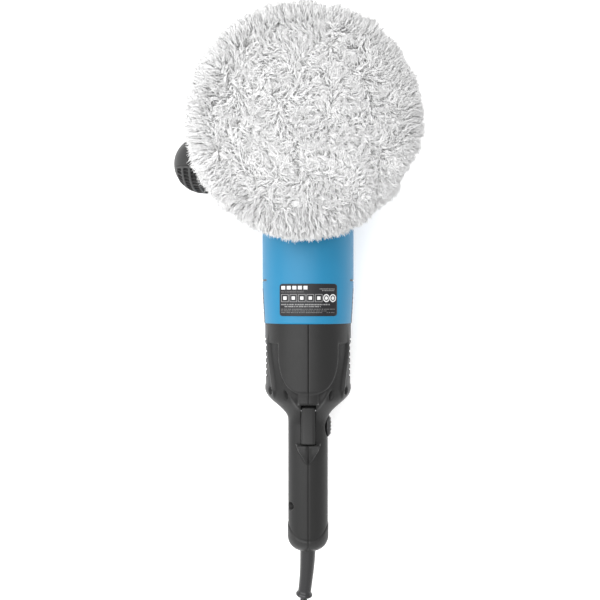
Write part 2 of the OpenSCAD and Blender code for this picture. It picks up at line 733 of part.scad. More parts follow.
// Two coils on the field poles, with end turns past both ends of the core
module field_coils() color([0.72, 0.38, 0.18]) rearward(stator_front) for (side = [-1, 1])
    difference() {
        translate([side * (armature_d / 2 + pole_gap / 3), 0, stator_len / 2])
            cube([0.424 * pole_gap, 0.38 * stator_d, stator_len + 2 * winding_w], center = true);
        translate([side * (armature_d / 2 + pole_gap / 3), 0, stator_len / 2])
            cube([pole_gap, 0.15 * stator_d, stator_len], center = true);
    }

module at_stator_screws() for (a = [45, 225]) rotate(a) translate([motor_bore_r - 4.6, 0, 0]) children();

module stator_screws() color("dimgray") rearward(stator_front) at_stator_screws() mirror([0, 0, 1])
    pan_screw(stator_screw_d, stator_len + 10, 7, 2.8);

module air_baffle() color([0.1, 0.1, 0.1]) rearward(baffle_front) {
    ring(motor_bore_r, fan_d / 2 - 10, 2);
    ring(fan_d / 2 - 8, fan_d / 2 - 10, 3.2);
}

module armature_core() color("lightslategray") rearward(stator_front) difference() {
    cylinder(d = armature_d, h = stator_len);
    translate([0, 0, -1]) cylinder(r = armature_shaft_r, h = stator_len + 2);
    for (i = [0 : 11]) rotate(i * 30) translate([armature_d / 2 - 8, -1.2, -1])
        cube([10, 2.4, stator_len + 2]);
}

module armature_windings() color([0.75, 0.42, 0.2]) {
    for (d = [stator_front - winding_w, stator_rear]) rearward(d) rotate_extrude() polygon([
        [armature_shaft_r + 1, 0], [armature_d / 2 - 5, 0], [armature_d / 2 - 2, 2],
        [armature_d / 2 - 2, winding_w - 2], [armature_d / 2 - 5, winding_w],
        [armature_shaft_r + 1, winding_w]
    ]);
    for (i = [0 : 11]) rearward(stator_front) rotate(i * 30)
        translate([armature_d / 2 - 7.5, -1.2, 0]) cube([6, 2.4, stator_len]);
}

module commutator() color("peru") rearward(commutator_front) difference() {
    union() {
        cylinder(d = commutator_d, h = commutator_w);
        cylinder(d = commutator_d + 5, h = 2);
    }
    translate([0, 0, -1]) cylinder(r = armature_shaft_r, h = commutator_w + 2);
    for (i = [0 : 23]) rotate(i * 15) translate([commutator_d / 2 - 0.5, -0.3, 2])
        cube([4, 0.6, commutator_w]);
}

module cooling_fan() color([0.2, 0.2, 0.22]) rearward(fan_front) {
    ring(armature_shaft_r + 5, armature_shaft_r, fan_w);
    ring(fan_d / 2, armature_shaft_r + 4, 1.8);
    for (i = [0 : 8]) rotate(i * 40) translate([armature_shaft_r + 4.5, -0.9, 1])
        cube([fan_d / 2 - armature_shaft_r - 6, 1.8, fan_w - 1]);
}

module armature_bearings() color("gainsboro") {
    rearward(motor_front + 1) bearing(front_bearing);
    rearward(rear_bearing_front) bearing(rear_bearing);
}

module rear_bearing_sleeve() color("black") rearward(rear_bearing_front)
    ring(rear_bearing[1] / 2 + sleeve_t, rear_bearing[1] / 2, rear_bearing[2]);

// Puts children beside the commutator: local z runs outwards along x
module at_brush(side, out) translate([side * out, -brush_at, motor_h]) rotate([0, side * 90, 0]) children();

module block(size, h) translate([-size[1] / 2, -size[0] / 2, 0]) cube([size[1], size[0], h]);

module brush_holders() color("goldenrod") for (side = [-1, 1]) at_brush(side, holder_from) difference() {
    block(holder_size, holder_to - holder_from);
    translate([0, 0, -1]) block([brush_size[0] + 0.4, brush_size[1] + 0.4], holder_to - holder_from);
}

module carbon_brushes() color([0.12, 0.12, 0.12]) for (side = [-1, 1]) at_brush(side, brush_from)
    block(brush_size, brush_len);

module brush_springs() color("gray") for (side = [-1, 1]) at_brush(side, brush_from + brush_len + 0.1)
    coil_spring(2.6, 0.7, 5, holder_to - 1.3 - brush_from - brush_len);

// ---------------------------------------------------------------- rear handle

// How much of its full width the grip keeps at distance d, where its end rounds over
function end_scale(d) = let (t = end_fill * max(0, d - grip_rear + end_len) / end_len) sqrt(1 - t * t);
function rear_radius(d) = end_scale(d) * blend(rear_d / 2, grip_h / 2, (d - flare_front) / (flare_len + 6));
function rear_half(d) = end_scale(d) * blend(rear_d / 2, grip_w / 2, (d - flare_front) / flare_len);
function rear_steps() = concat(
    [rear_front], [for (k = [0 : flare_steps]) flare_front + (flare_len + 6) * k / flare_steps],
    [for (k = [0 : 8]) grip_rear - end_len + end_len * k / 8]);

// The body of the rear handle: a turned shape whose sides are trimmed to the plan outline
module rear_solid(inset) {
    ds = rear_steps();
    last = ds[len(ds) - 1];
    shift = [for (d = ds) d == rear_front ? d - (inset > 0 ? 1 : 0) : d == last ? d - inset : d];
    intersection() {
        rearward() rotate_extrude() polygon(concat(
            [[0, shift[0]]], [for (i = [0 : len(ds) - 1]) [rear_radius(ds[i]) - inset, shift[i]]],
            [[0, shift[len(ds) - 1]]]));
        translate([0, 0, motor_h - rear_d]) linear_extrude(2 * rear_d) polygon(concat(
            [for (i = [0 : len(ds) - 1]) [rear_half(ds[i]) - inset, -shift[i]]],
            [for (i = [len(ds) - 1 : -1 : 0]) [-rear_half(ds[i]) + inset, -shift[i]]]));
    }
}

// The V-shaped stop behind the trigger
module finger_stop() intersection() {
    translate([0, 0, motor_h + 10]) linear_extrude(40) polygon([
        [-stop_w / 2, -stop_front], [stop_w / 2, -stop_front], [stop_w / 2 - 2, -stop_front - 6],
        [1.5, -stop_front - stop_len], [-1.5, -stop_front - stop_len], [-stop_w / 2 + 2, -stop_front - 6]
    ]);
    rotate([90, 0, 90]) translate([0, 0, -stop_w]) linear_extrude(2 * stop_w) polygon([
        [-stop_front, motor_h + 10], [-stop_front, trigger_top + 0.5], [-stop_front - 3, trigger_top + 0.5],
        [-stop_front - stop_len * 0.6, motor_h + grip_h / 2 + 5],
        [-stop_front - stop_len, motor_h + grip_h / 2 - 1.5], [-stop_front - stop_len, motor_h + 10]
    ]);
}

// The raised block ahead of the trigger
module trigger_brow() translate([-brow_w / 2, 1 - trigger_front, motor_h + 20])
    cube([brow_w, brow_len, trigger_top - motor_h - 10.5]);

// Everything that both shells are cut from
module shells_blank() difference() {
    union() {
        difference() {
            rear_solid(0);
            rear_solid(shell_wall);
        }
        intersection() {
            rear_solid(1);
            for (p = shell_screws) rearward(p[0], 0, motor_h + p[1]) rotate([0, 90, 0])
                cylinder(r = boss_r, h = rear_d, center = true);
        }
        difference() {
            union() {
                finger_stop();
                trigger_brow();
            }
            rear_solid(1);
        }
        // walls that carry the trigger pin
        for (s = [-1, 1]) translate([s * (trigger_w / 2 + 2.5) - 1.5, -trigger_pin_at - 4, trigger_pin_h - 8])
            cube([3, 8, 12]);
        // posts that carry the thumbwheel and the cord clamp
        for (s = [-1, 1]) {
            translate([s * (dial_w / 2 + 2) - 1.2, -dial_at - 5, 4]) cube([2.4, 10, dial_h]);
            translate([s * clamp_screw_x, -clamp_at, motor_h - grip_h / 2 + 3])
                cylinder(r = 3.6, h = clamp_h - motor_h + grip_h / 2 - 3);
        }
    }
    rearward(dial_at, 0, dial_h) rotate([0, 90, 0])
        cylinder(d = dial_axle_d + 2 * run, h = dial_w + 12, center = true);
    for (s = [-1, 1]) translate([s * clamp_screw_x, -clamp_at, clamp_h - 9]) cylinder(d = 3, h = 20);
    // trigger opening
    translate([-trigger_w / 2 - 0.5, -trigger_rear - 0.9, motor_h + 5])
        cube([trigger_w + 1, trigger_len + 1.9, 60]);
    rearward(trigger_pin_at, 0, trigger_pin_h) rotate([0, 90, 0])
        cylinder(d = trigger_pin_d, h = trigger_pin_len, center = true);
    // intake slots on both sides
    for (i = [0 : vent_count - 1]) translate([0, -rear_front - 16 - i * vent_pitch, motor_h + 2])
        cube([2 * rear_d, 2.4, 22], center = true);
    // thumbwheel slot
    translate([-dial_w / 2 - 0.5, -dial_at - dial_r - 0.6, -5]) cube([dial_w + 1, 2 * dial_r + 1.2, 30]);
    // screw shanks
    for (p = shell_screws) rearward(p[0], 0, motor_h + p[1]) rotate([0, 90, 0])
        translate([0, 0, -rear_d]) cylinder(d = screw_d, h = rear_d + 14);
    // opening round the cord guard
    aim(guard_base, cord_route[0]) translate([0, 0, -8]) cylinder(r = guard_r + 0.5, h = 30);
    aim(guard_base, cord_route[0]) translate([0, 0, -4.3]) cylinder(r = guard_r + 3.3, h = 4.6);
}

module handle_shell_left() color([0.23, 0.23, 0.24]) difference() {
    shells_blank();
    translate([0, -500, -50]) cube([100, 400, 200]);
    for (p = shell_screws) rearward(p[0], 0, motor_h + p[1]) rotate([0, -90, 0])
        translate([0, 0, screw_seat]) cylinder(d = screw_head_d + 0.6, h = rear_d);
}

module handle_shell_right() color([0.23, 0.23, 0.24]) difference() {
    shells_blank();
    translate([-100, -500, -50]) cube([100, 400, 200]);
    translate([0, -lock_on_at, lock_on_h]) rotate([0, 90, 0]) rotate(90)
        slot_bar(lock_on_len + 2 * slip, lock_on_w + 2 * slip, 60);
}

module handle_screws() color("dimgray") for (p = shell_screws)
    rearward(p[0], 0, motor_h + p[1]) rotate([0, -90, 0]) translate([0, 0, screw_seat])
        pan_screw(screw_d, screw_seat + 12, screw_head_d, screw_head_h);

module trigger() color([0.24, 0.24, 0.25]) difference() {
    rotate([90, 0, 90]) translate([0, 0, -trigger_w / 2]) linear_extrude(trigger_w) polygon([
        [-trigger_front, trigger_top - 4], [-trigger_front - 2.5, trigger_top],
        [-trigger_front - 18, trigger_top - 1.2], [-trigger_rear, trigger_top + 1],
        [-trigger_rear, motor_h + 20], [-foot_at - foot_len / 2, motor_h + 15],
        [-foot_at - foot_len / 2, foot_h], [-foot_at + foot_len / 2, foot_h],
        [-foot_at + foot_len / 2, motor_h + 15], [-trigger_front - 3, motor_h + 19.5],
        [-trigger_front - 1, motor_h + 22]
    ]);
    rearward(trigger_pin_at, 0, trigger_pin_h) rotate([0, 90, 0])
        cylinder(d = trigger_pin_d + 2 * run, h = 40, center = true);
    for (s = [-1, 1]) translate([s * (foot_w / 2 + 10), -foot_at, foot_h])
        cube([20, foot_len + 2, 2 * (motor_h + 15 - foot_h)], center = true);
}

module trigger_pin() color("gainsboro") rearward(trigger_pin_at, 0, trigger_pin_h) rotate([0, 90, 0])
    cylinder(d = trigger_pin_d, h = trigger_pin_len, center = true);

module trigger_spring() color("gray") translate([0, -switch_front - 3.5, switch_top + 0.05])
    coil_spring(2.2, 0.7, 6, motor_h + 16 - switch_top);

module trigger_switch() color([0.12, 0.12, 0.13]) difference() {
    union() {
        translate([-switch_size[0] / 2, -switch_front - switch_size[1], switch_h - switch_size[2] / 2])
            cube(switch_size);
        for (x = [-6, 0, 6]) translate([x - 1, -switch_front - switch_size[1] - 4, switch_h - 3])
            cube([2, 5, 6]);
    }
    // well that the trigger's foot swings in
    translate([-foot_w / 2 - 0.5, -foot_at - foot_len / 2 - 1, switch_top - 6])
        cube([foot_w + 1, foot_len + foot_sweep + 2, 10]);
}

module lock_on_button() color([0.12, 0.12, 0.13]) translate([lock_on_inner, -lock_on_at, lock_on_h])
    rotate([0, 90, 0]) rotate(90) {
        slot_bar(lock_on_len, lock_on_w, grip_w / 2 + lock_on_out - lock_on_inner);
        slot_bar(lock_on_len + 3, lock_on_w + 3, 1.8);
    }

module speed_controller() color([0.1, 0.35, 0.2]) {
    translate([-20, -rear_front - 48, motor_h + 8]) cube([40, 34, 1.6]);
    translate([-14, -rear_front - 42, motor_h + 9.6 - eps]) cube([12, 22, 12]);
    translate([6, -rear_front - 30, motor_h + 9.6 - eps]) cylinder(d = 10, h = 16);
    translate([6, -rear_front - 42, motor_h + 9.6 - eps]) cylinder(d = 7, h = 11);
}

module speed_dial() color([0.12, 0.12, 0.13]) translate([0, -dial_at, dial_h]) rotate([0, 90, 0])
    difference() {
        union() {
            cylinder(r = dial_r, h = dial_w, center = true);
            cylinder(d = dial_axle_d, h = dial_w + 6, center = true);
        }
        for (i = [0 : 17]) rotate(i * 20) translate([dial_r + 0.5, 0, 0])
            cylinder(d = 2.2, h = dial_w + 1, center = true);
    }

// ---------------------------------------------------------------- cord

module cord_guard() color([0.14, 0.14, 0.15]) aim(guard_base, cord_route[0]) difference() {
    union() {
        translate([0, 0, -4]) cylinder(r = guard_r + 3, h = 4);
        rotate_extrude() polygon([
            [0, -1], [guard_r, -1], [guard_r, 8], [guard_tip_r, guard_len - 7],
            [guard_tip_r, guard_len - 6], [guard_tip_r + 1.6, guard_len - 4],
            [guard_tip_r + 1.6, guard_len - 1], [guard_tip_r + 0.8, guard_len], [0, guard_len]
        ]);
    }
    translate([0, 0, -5]) cylinder(r = cord_d / 2 + 0.1, h = guard_len + 10);
}

// The lead inside the handle, from the clamp to the tip of the guard
module inner_lead() color([0.1, 0.1, 0.1]) aim(guard_base, cord_route[0]) translate([0, 0, -26])
    cylinder(d = cord_d, h = 26 + guard_len - 0.05);

// The stretches of the cord that aren't coiled: from the guard to the coil, and on to the plug
module power_cord() color([0.1, 0.1, 0.1]) {
    sweep(smooth_route(cord_route, 2), cord_d / 2, 10);
    sweep(smooth_route(tail_route, 2), cord_d / 2, 10);
}

module cord_coil() color([0.1, 0.1, 0.1]) translate([coil_centre[0], coil_centre[1], 0])
    rotate_extrude() translate([coil_mean_r - coil_w / 2, 0]) square([coil_w, coil_h]);

module cord_tie() color([0.2, 0.2, 0.22]) intersection() {
    translate([coil_centre[0], coil_centre[1], 0]) difference() {
        ring(coil_mean_r + coil_w / 2 + tie_t, coil_mean_r - coil_w / 2 - tie_t, coil_h + tie_t);
        translate([0, 0, -1]) ring(coil_mean_r + coil_w / 2, coil_mean_r - coil_w / 2, coil_h + 1);
    }
    translate([coil_centre[0] - tie_w / 2, coil_centre[1] - 2 * coil_mean_r, 0])
        cube([tie_w, 2 * coil_mean_r, 2 * coil_h]);
}

module plug() color([0.11, 0.11, 0.12]) {
    a = tail_route[len(tail_route) - 1];
    translate([a[0], a[1], a[2]]) rotate([-90, 0, 0]) {
        rotate_extrude() polygon([
            [0, 0], [cord_d / 2 + 1.5, 0], [cord_d / 2 + 2.5, 12], [plug_r, 18], [plug_r, plug_len - 3],
            [plug_r - 2, plug_len], [0, plug_len]
        ]);
        for (s = [-1, 1]) translate([s * 9.5, 0, plug_len - 1]) cylinder(d = 4, h = 19);
    }
}

module cord_clamp() color([0.15, 0.15, 0.16]) difference() {
    translate([-11.5, -clamp_at - 4, clamp_h]) cube([23, 8, clamp_t]);
    for (s = [-1, 1]) translate([s * clamp_screw_x, -clamp_at, clamp_h - 1]) cylinder(d = 3.2, h = 10);
}

module cord_clamp_screws() color("dimgray") for (s = [-1, 1])
    translate([s * clamp_screw_x, -clamp_at, clamp_h + clamp_t]) pan_screw(3, 11, 5.4, 2);

// ---------------------------------------------------------------- side handle

// Radius of the side handle at distance t from its boss
function side_r(t) = t < side_widest ? blend(side_neck_r, side_d / 2, (t - 6) / (side_widest - 8))
    : side_d / 2 * sqrt(max(0, 1 - pow((t - side_widest) / (side_len - side_widest), 2)));
// The same outline as straight steps, which every piece of the handle shares
side_table = [for (k = [0 : 24]) let (t = side_len * k / 24) [t, side_r(t)]];

// A turned piece of the side handle between two distances, "inset" inside its surface
module side_turned(from, to, inset) {
    ts = concat([from], [for (p = side_table) if (p[0] > from && p[0] < to) p[0]], [to]);
    rotate_extrude() polygon(concat(
        [[0, from]], [for (t = ts) [max(0, lookup(t, side_table) - inset), t]], [[0, to]]));
}

module side_handle_core() color([0.2, 0.2, 0.21]) side_frame(-1) difference() {
    union() {
        cylinder(r = side_flange_r, h = side_flange_t);
        side_turned(side_flange_t - 1, side_sleeve_to, side_sleeve_t);
        side_turned(side_flange_t - 1, side_sleeve_from, 0);
        side_turned(side_sleeve_to, side_len, 0);
    }
    translate([0, 0, -1]) cylinder(d = side_thread_d, h = stud_in + 1);
}

module side_sleeve() difference() {
    side_turned(side_sleeve_from, side_sleeve_to, 0);
    side_turned(side_sleeve_from - 1, side_sleeve_to + 1, side_sleeve_t);
}

module side_handle_grip() color([0.35, 0.35, 0.36]) side_frame(-1) difference() {
    side_sleeve();
    translate([-60, side_split, -10]) cube([120, 60, 140]);
    for (i = [0 : 6]) translate([0, 0, side_sleeve_from + 6 + i * 8.5])
        ring(60, max(4, side_r(side_sleeve_from + 6 + i * 8.5) - 1), 2.6);
}

module side_handle_inlay() color([0.24, 0.24, 0.25]) side_frame(-1) difference() {
    side_sleeve();
    translate([-60, side_split - 60, -10]) cube([120, 60, 140]);
}

module side_handle_stud() color("gainsboro") side_frame(-1) translate([0, 0, -side_hole_len + 1])
    cylinder(d = side_thread_d, h = stud_in + side_hole_len - 1);

// ---------------------------------------------------------------- pad

module pad_hub() color("gainsboro") difference() {
    union() {
        translate([0, 0, hub_h]) cylinder(r = flange_r + 2, h = foam_h - hub_h, $fn = 6);
        translate([0, 0, plate_h]) cylinder(r = 24, h = 3);
    }
    translate([0, 0, hub_h - 1]) cylinder(d = spindle_thread_d, h = 40);
}

module backing_plate() color([0.15, 0.15, 0.16]) difference() {
    translate([0, 0, plate_h]) cylinder(r = pad_d / 2 - 6, h = pad_plate_t);
    translate([0, 0, plate_h - 1]) cylinder(r = 24, h = 4);
    translate([0, 0, plate_h - 1]) cylinder(r = flange_r + 2, h = 20, $fn = 6);
}

module foam_pad() color([0.85, 0.8, 0.6]) difference() {
    translate([0, 0, foam_h]) cylinder(d = pad_d, h = pad_t);
    translate([0, 0, foam_h - 1]) cylinder(r = spindle_thread_d / 2 + 3, h = 7);
}

function arc(cx, cy, r, from, to, n) =
    [for (k = [0 : n]) let (a = from + (to - from) * k / n) [cx + r * cos(a), cy + r * sin(a)]];

// A cap of wool on hide, closed round the rim of the pad
module wool_bonnet() color([0.96, 0.96, 0.95]) rotate_extrude() difference() {
    polygon(concat(
        [[0, bonnet_low], [bonnet_r - 9, bonnet_low]],
        arc(bonnet_r - 9, bonnet_low + 9, 9, -90, 0, 6),
        arc(bonnet_r - 26, bonnet_top - 26, 26, 8, 82, 8),
        [[0, bonnet_top]]));
    square([hem_r, plate_h + 1]);
    translate([0, plate_h - slip]) square([pad_d / 2 + slip, foam_top - plate_h + 2 * slip]);
}

module bonnet_drawcord() color("white") translate([0, 0, bonnet_low + hem_wire / 2 + 1])
    rotate_extrude() translate([hem_r - hem_wire / 2 - 0.4, 0]) circle(d = hem_wire);

gear_head();
bearing_plate();
bearing_plate_screws();
gear_head_screws();
gear_case_plate();
spindle_bearings();
layshaft_bearings();
armature_bearings();
rear_bearing_sleeve();
dust_seal();
motor_housing();
stator_core();
field_coils();
stator_screws();
air_baffle();
brush_holders();
carbon_brushes();
brush_springs();
brush_covers();
rating_label();
handle_shell_left();
handle_shell_right();
handle_screws();
trigger_pin();
trigger_spring();
trigger_switch();
speed_controller();
cord_clamp();
cord_clamp_screws();
inner_lead();
cord_guard();
power_cord();
cord_coil();
plug();
cord_tie();
side_handle_core();
side_handle_grip();
side_handle_inlay();
side_handle_stud();
lock_spring();
spindle();
crown_gear();
crown_key();
spindle_circlip();
pad_hub();
backing_plate();
foam_pad();
wool_bonnet();
bonnet_drawcord();
layshaft();
reduction_gear();
armature_shaft();
armature_core();
armature_windings();
commutator();
cooling_fan();
trigger();
lock_on_button();
spindle_lock();
speed_dial();
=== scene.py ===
"""The looks of a rotary polisher with a wool bonnet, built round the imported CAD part.

Metres.  +Z runs out of the pad along the spindle, +Y from the motor to the gear head, and the
machine lies on its back.  "d" is a distance from the spindle towards the handle, which is -Y.
"""

import json

import bpy
import numpy as np
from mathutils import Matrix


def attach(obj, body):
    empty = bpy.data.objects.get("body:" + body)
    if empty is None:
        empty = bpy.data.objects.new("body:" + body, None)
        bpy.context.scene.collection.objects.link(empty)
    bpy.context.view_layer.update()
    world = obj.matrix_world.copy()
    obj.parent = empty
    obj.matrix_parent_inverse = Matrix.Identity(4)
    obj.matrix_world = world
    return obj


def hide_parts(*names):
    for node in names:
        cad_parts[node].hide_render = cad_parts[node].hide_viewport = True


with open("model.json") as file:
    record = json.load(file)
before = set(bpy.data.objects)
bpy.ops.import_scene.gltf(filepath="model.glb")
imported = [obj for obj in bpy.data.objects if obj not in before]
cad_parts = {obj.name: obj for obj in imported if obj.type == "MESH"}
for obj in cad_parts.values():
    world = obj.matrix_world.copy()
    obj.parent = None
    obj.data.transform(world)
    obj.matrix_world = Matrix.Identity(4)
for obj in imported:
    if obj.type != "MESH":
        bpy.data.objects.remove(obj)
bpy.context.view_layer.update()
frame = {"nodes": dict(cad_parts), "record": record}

MM = 0.001
AXIS_H = 46 * MM                   # height of the motor axis
TURN = 2 * np.pi
BONNET_SHIFT = np.array([-3.6, 1.5, 0.0])   # how far the bonnet sits off the spindle


# ---------------------------------------------------------------- camera, light and floor

def set_camera():
    """Straight above the machine, with its length up the picture."""
    lens = bpy.data.cameras.new("camera")
    lens.sensor_width = 36.0
    lens.lens = 18.0 / np.tan(np.radians(38.9 / 2))
    camera = bpy.data.objects.new("camera", lens)
    camera.location = (-8 * MM, -161 * MM, 896 * MM)
    bpy.context.scene.collection.objects.link(camera)
    bpy.context.scene.camera = camera


def add_light(name, place, aim, size, power):
    """A square soft box at place, turned towards aim."""
    lamp = bpy.data.lights.new(name, "AREA")
    lamp.shape, lamp.size, lamp.energy = "SQUARE", size, power
    holder = bpy.data.objects.new(name, lamp)
    towards = np.array(aim, float) - np.array(place, float)
    towards /= np.linalg.norm(towards)
    holder.location = place
    holder.rotation_euler = (np.arccos(-towards[2]), 0.0, np.arctan2(towards[1], towards[0]) - np.pi / 2)
    bpy.context.scene.collection.objects.link(holder)


def set_light():
    """A sky that is brighter on the left than on the right, and a large soft box on the left."""
    world = bpy.data.worlds.new("studio")
    world.use_nodes = True
    nodes, links = world.node_tree.nodes, world.node_tree.links
    where, split = nodes.new("ShaderNodeTexCoord"), nodes.new("ShaderNodeSeparateXYZ")
    ramp = nodes.new("ShaderNodeMapRange")
    for key, value in (("From Min", -1.0), ("From Max", 1.0), ("To Min", 1.5), ("To Max", 1.0)):
        ramp.inputs[key].default_value = value
    links.new(where.outputs["Generated"], split.inputs[0])
    links.new(split.outputs["X"], ramp.inputs["Value"])
    links.new(ramp.outputs["Result"], nodes["Background"].inputs["Strength"])
    nodes["Background"].inputs["Color"].default_value = (1.0, 1.0, 1.0, 1.0)
    bpy.context.scene.world = world
    bpy.context.scene.view_settings.view_transform = "Standard"
    add_light("left_box", (-1.15, 0.0, 1.45), (0.0, -0.2, 0.05), 1.6, 19.0)
    add_light("top_box", (-0.1, -0.1, 2.0), (0.0, -0.2, 0.0), 1.4, 13.0)


# ---------------------------------------------------------------- surfaces as arrays of points

def quads(rows, columns, round_rows=False, round_columns=True):
    """The four corner numbers of every quad in a grid of points, numbered row by row."""
    row = np.arange(rows if round_rows else rows - 1)[:, None]
    column = np.arange(columns if round_columns else columns - 1)[None, :]
    near = row * columns + column
    beside = row * columns + (column + 1) % columns
    step = ((row + 1) % rows - row) * columns
    return np.stack([near, beside, beside + step, near + step], axis=-1).reshape(-1, 4)


def skin(rings, start=None, end=None, loop=False):
    """Quads through rings of points (rings, round, 3), and a fan of triangles to the point that
    closes each end.  loop joins the last ring to the first."""
    rows, columns = rings.shape[:2]
    points, faces = [rings.reshape(-1, 3)], [quads(rows, columns, loop)]
    around = np.arange(columns)
    beside = (around + 1) % columns
    for pole, row in ((start, 0), (end, rows - 1)):
        if pole is not None:
            tip = np.full(columns, sum(len(p) for p in points))
            points.append(np.asarray(pole, float).reshape(1, 3))
            base = row * columns
            fan = (tip, base + beside, base + around) if row == 0 else (tip, base + around, base + beside)
            faces.append(np.stack(fan, axis=-1))
    return np.concatenate(points), faces


def capped(rings):
    """A skin with both ends closed at the middles of the first and last rings."""
    return skin(rings, rings[0].mean(0), rings[-1].mean(0))


def joined(*shapes):
    """Several shapes as one."""
    points, faces, first = [], [], 0
    for some_points, some_faces in shapes:
        points.append(some_points)
        faces += [f + first for f in some_faces]
        first += len(some_points)
    return np.concatenate(points), faces


def volume(points, faces):
    """A sixth of the sum of a . (b x c) over every triangle: positive where faces point outwards."""
    total = 0.0
    for f in faces:
        for k in range(1, f.shape[1] - 1):
            a, b, c = points[f[:, 0]], points[f[:, k]], points[f[:, k + 1]]
            total += np.einsum("ij,ij->", a, np.cross(b, c)) / 6
    return total


def outwards(shape):
    """The same closed shape with its faces pointing outwards."""
    points, faces = shape
    return (points, [f[:, ::-1] for f in faces]) if volume(points, faces) < 0 else shape


def make(name, shape, finish, body="housing", stands_for=(), smooth=True, marks=None):
    """A piece from a shape, in its place, riding on a body.  marks are numbers kept at its points."""
    points, faces = shape
    mesh = bpy.data.meshes.new(name)
    counts = np.concatenate([np.full(len(f), f.shape[1]) for f in faces])
    corners = np.concatenate([f.ravel() for f in faces]).astype(np.int32)
    mesh.vertices.add(len(points))
    mesh.vertices.foreach_set("co", np.asarray(points, np.float32).ravel())
    mesh.loops.add(len(corners))
    mesh.loops.foreach_set("vertex_index", corners)
    mesh.polygons.add(len(counts))
    mesh.polygons.foreach_set("loop_start", (np.cumsum(counts) - counts).astype(np.int32))
    mesh.polygons.foreach_set("use_smooth", np.full(len(counts), smooth))
    mesh.update(calc_edges=True)
    mesh.validate()
    for key, values in (marks or {}).items():
        mesh.attributes.new(key, "FLOAT", "POINT").data.foreach_set(
            "value", np.asarray(values, np.float32).ravel())
    mesh.materials.append(finish.material)
    piece = bpy.data.objects.new(name, mesh)
    bpy.context.scene.collection.objects.link(piece)
    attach(piece, body)
    if stands_for:
        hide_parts(*stands_for)
    return piece


def smooth(low, high, x):
    """t t (3 - 2 t), where t = (x - low) / (high - low) kept between 0 and 1."""
    t = np.clip((x - low) / (high - low), 0.0, 1.0)
    return t * t * (3 - 2 * t)


def ease(a, b, t):
    """a + (b - a)(1 - cos(pi t)) / 2, with t kept between 0 and 1."""
    return a + (b - a) * (1 - np.cos(np.pi * np.clip(t, 0.0, 1.0))) / 2


def ripple(points, size, seed, waves=7):
    """The mean of seeded plane waves sin(k . p + phase) of about the given length: from -1 to 1."""
    chance = np.random.default_rng(seed)
    way = chance.normal(size=(waves, 3))
    way *= TURN / size * chance.uniform(0.6, 1.5, (waves, 1)) / np.linalg.norm(way, axis=1, keepdims=True)
    return np.sin(points @ way.T + chance.uniform(0, TURN, waves)).mean(-1) * 1.6


def steps(stops, step):
    """Numbers that pass through every stop, in equal steps no longer than step."""
    counts = [max(1, int(np.ceil(abs(b - a) / step))) for a, b in zip(stops[:-1], stops[1:])]
    return np.concatenate(
        [np.linspace(a, b, n, endpoint=False) for a, b, n in zip(stops[:-1], stops[1:], counts)]
        + [[stops[-1]]])


def ring_of(radius, count, phase=0.0):
    """A circle (x, y) of count points."""
    a = TURN * (np.arange(count) + phase) / count
    return np.stack([radius * np.cos(a), radius * np.sin(a)], axis=-1)


def carried(profile, path, scale=None, up=(0.0, 0.0, 1.0)):
    """P + s (x side + y over) for each point P of the path and (x, y) of the profile, where
    side = tangent x up and over = side x tangent."""
    tangent = np.gradient(path, axis=0)
    tangent /= np.linalg.norm(tangent, axis=1, keepdims=True)
    side = np.cross(tangent, up)
    side /= np.linalg.norm(side, axis=1, keepdims=True)
    over = np.cross(side, tangent)
    s = np.ones(len(path)) if scale is None else np.asarray(scale, float)
    profile = np.broadcast_to(profile, (len(path),) + np.shape(profile)[-2:])
    return (path[:, None] + s[:, None, None]
            * (profile[..., 0:1] * side[:, None] + profile[..., 1:2] * over[:, None]))


def turned(radius, along, count, origin, axis, across):
    """o + h axis + r (cos a across + sin a (axis x across)) for each pair (r, h)."""
    axis, across = np.asarray(axis, float), np.asarray(across, float)
    other = np.cross(axis, across)
    a = TURN * np.arange(count) / count
    around = np.cos(a)[:, None] * across + np.sin(a)[:, None] * other
    return (np.asarray(origin, float) + np.asarray(along)[:, None, None] * axis
            + np.asarray(radius)[:, None, None] * around[None])


def smooth_route(points, n):
    """Catmull-Rom: ((2b) + (c - a) t + (2a - 5b + 4c - d) t^2 + (3b - a - 3c + d) t^3) / 2."""
    p = np.asarray(points, float)
    p = np.concatenate([2 * p[:1] - p[1:2], p, 2 * p[-1:] - p[-2:-1]])
    t = (np.arange(n) / n)[None, :, None]
    a, b, c, d = (p[k:len(p) - 3 + k, None] for k in range(4))
    spans = 0.5 * (2 * b + (c - a) * t + (2 * a - 5 * b + 4 * c - d) * t**2
                   + (3 * b - a - 3 * c + d) * t**3)
    return np.concatenate([spans.reshape(-1, 3), p[-2:-1]])


# ---------------------------------------------------------------- finishes

class Value:
    """A shader socket that carries a number.  Arithmetic on it adds Math nodes."""

    def __init__(self, finish, socket):
        self.finish, self.socket = finish, socket

    def _math(self, operation, *values):
        """The result of one Math node on values or numbers."""
        node = self.finish.node("ShaderNodeMath", {"operation": operation}, dict(enumerate(values)))
        return Value(self.finish, node.outputs[0])

    def __add__(self, other):
        return self._math("ADD", self, other)

    def __sub__(self, other):
        return self._math("SUBTRACT", self, other)

    def __rsub__(self, other):
        return self._math("SUBTRACT", other, self)

    def __mul__(self, other):
        return self._math("MULTIPLY", self, other)

    __radd__, __rmul__ = __add__, __mul__

    def over(self, low, high):
        """0 below low and 1 above high, with a smooth rise between them."""
        node = self.finish.node(
            "ShaderNodeMapRange", {"interpolation_type": "SMOOTHSTEP"},
            {"Value": self, "From Min": low, "From Max": high})
        return Value(self.finish, node.outputs["Result"])

    def wave(self, count):
        """sin of the number times count turns."""
        return self._math("SINE", self * (TURN * count), 0.0)


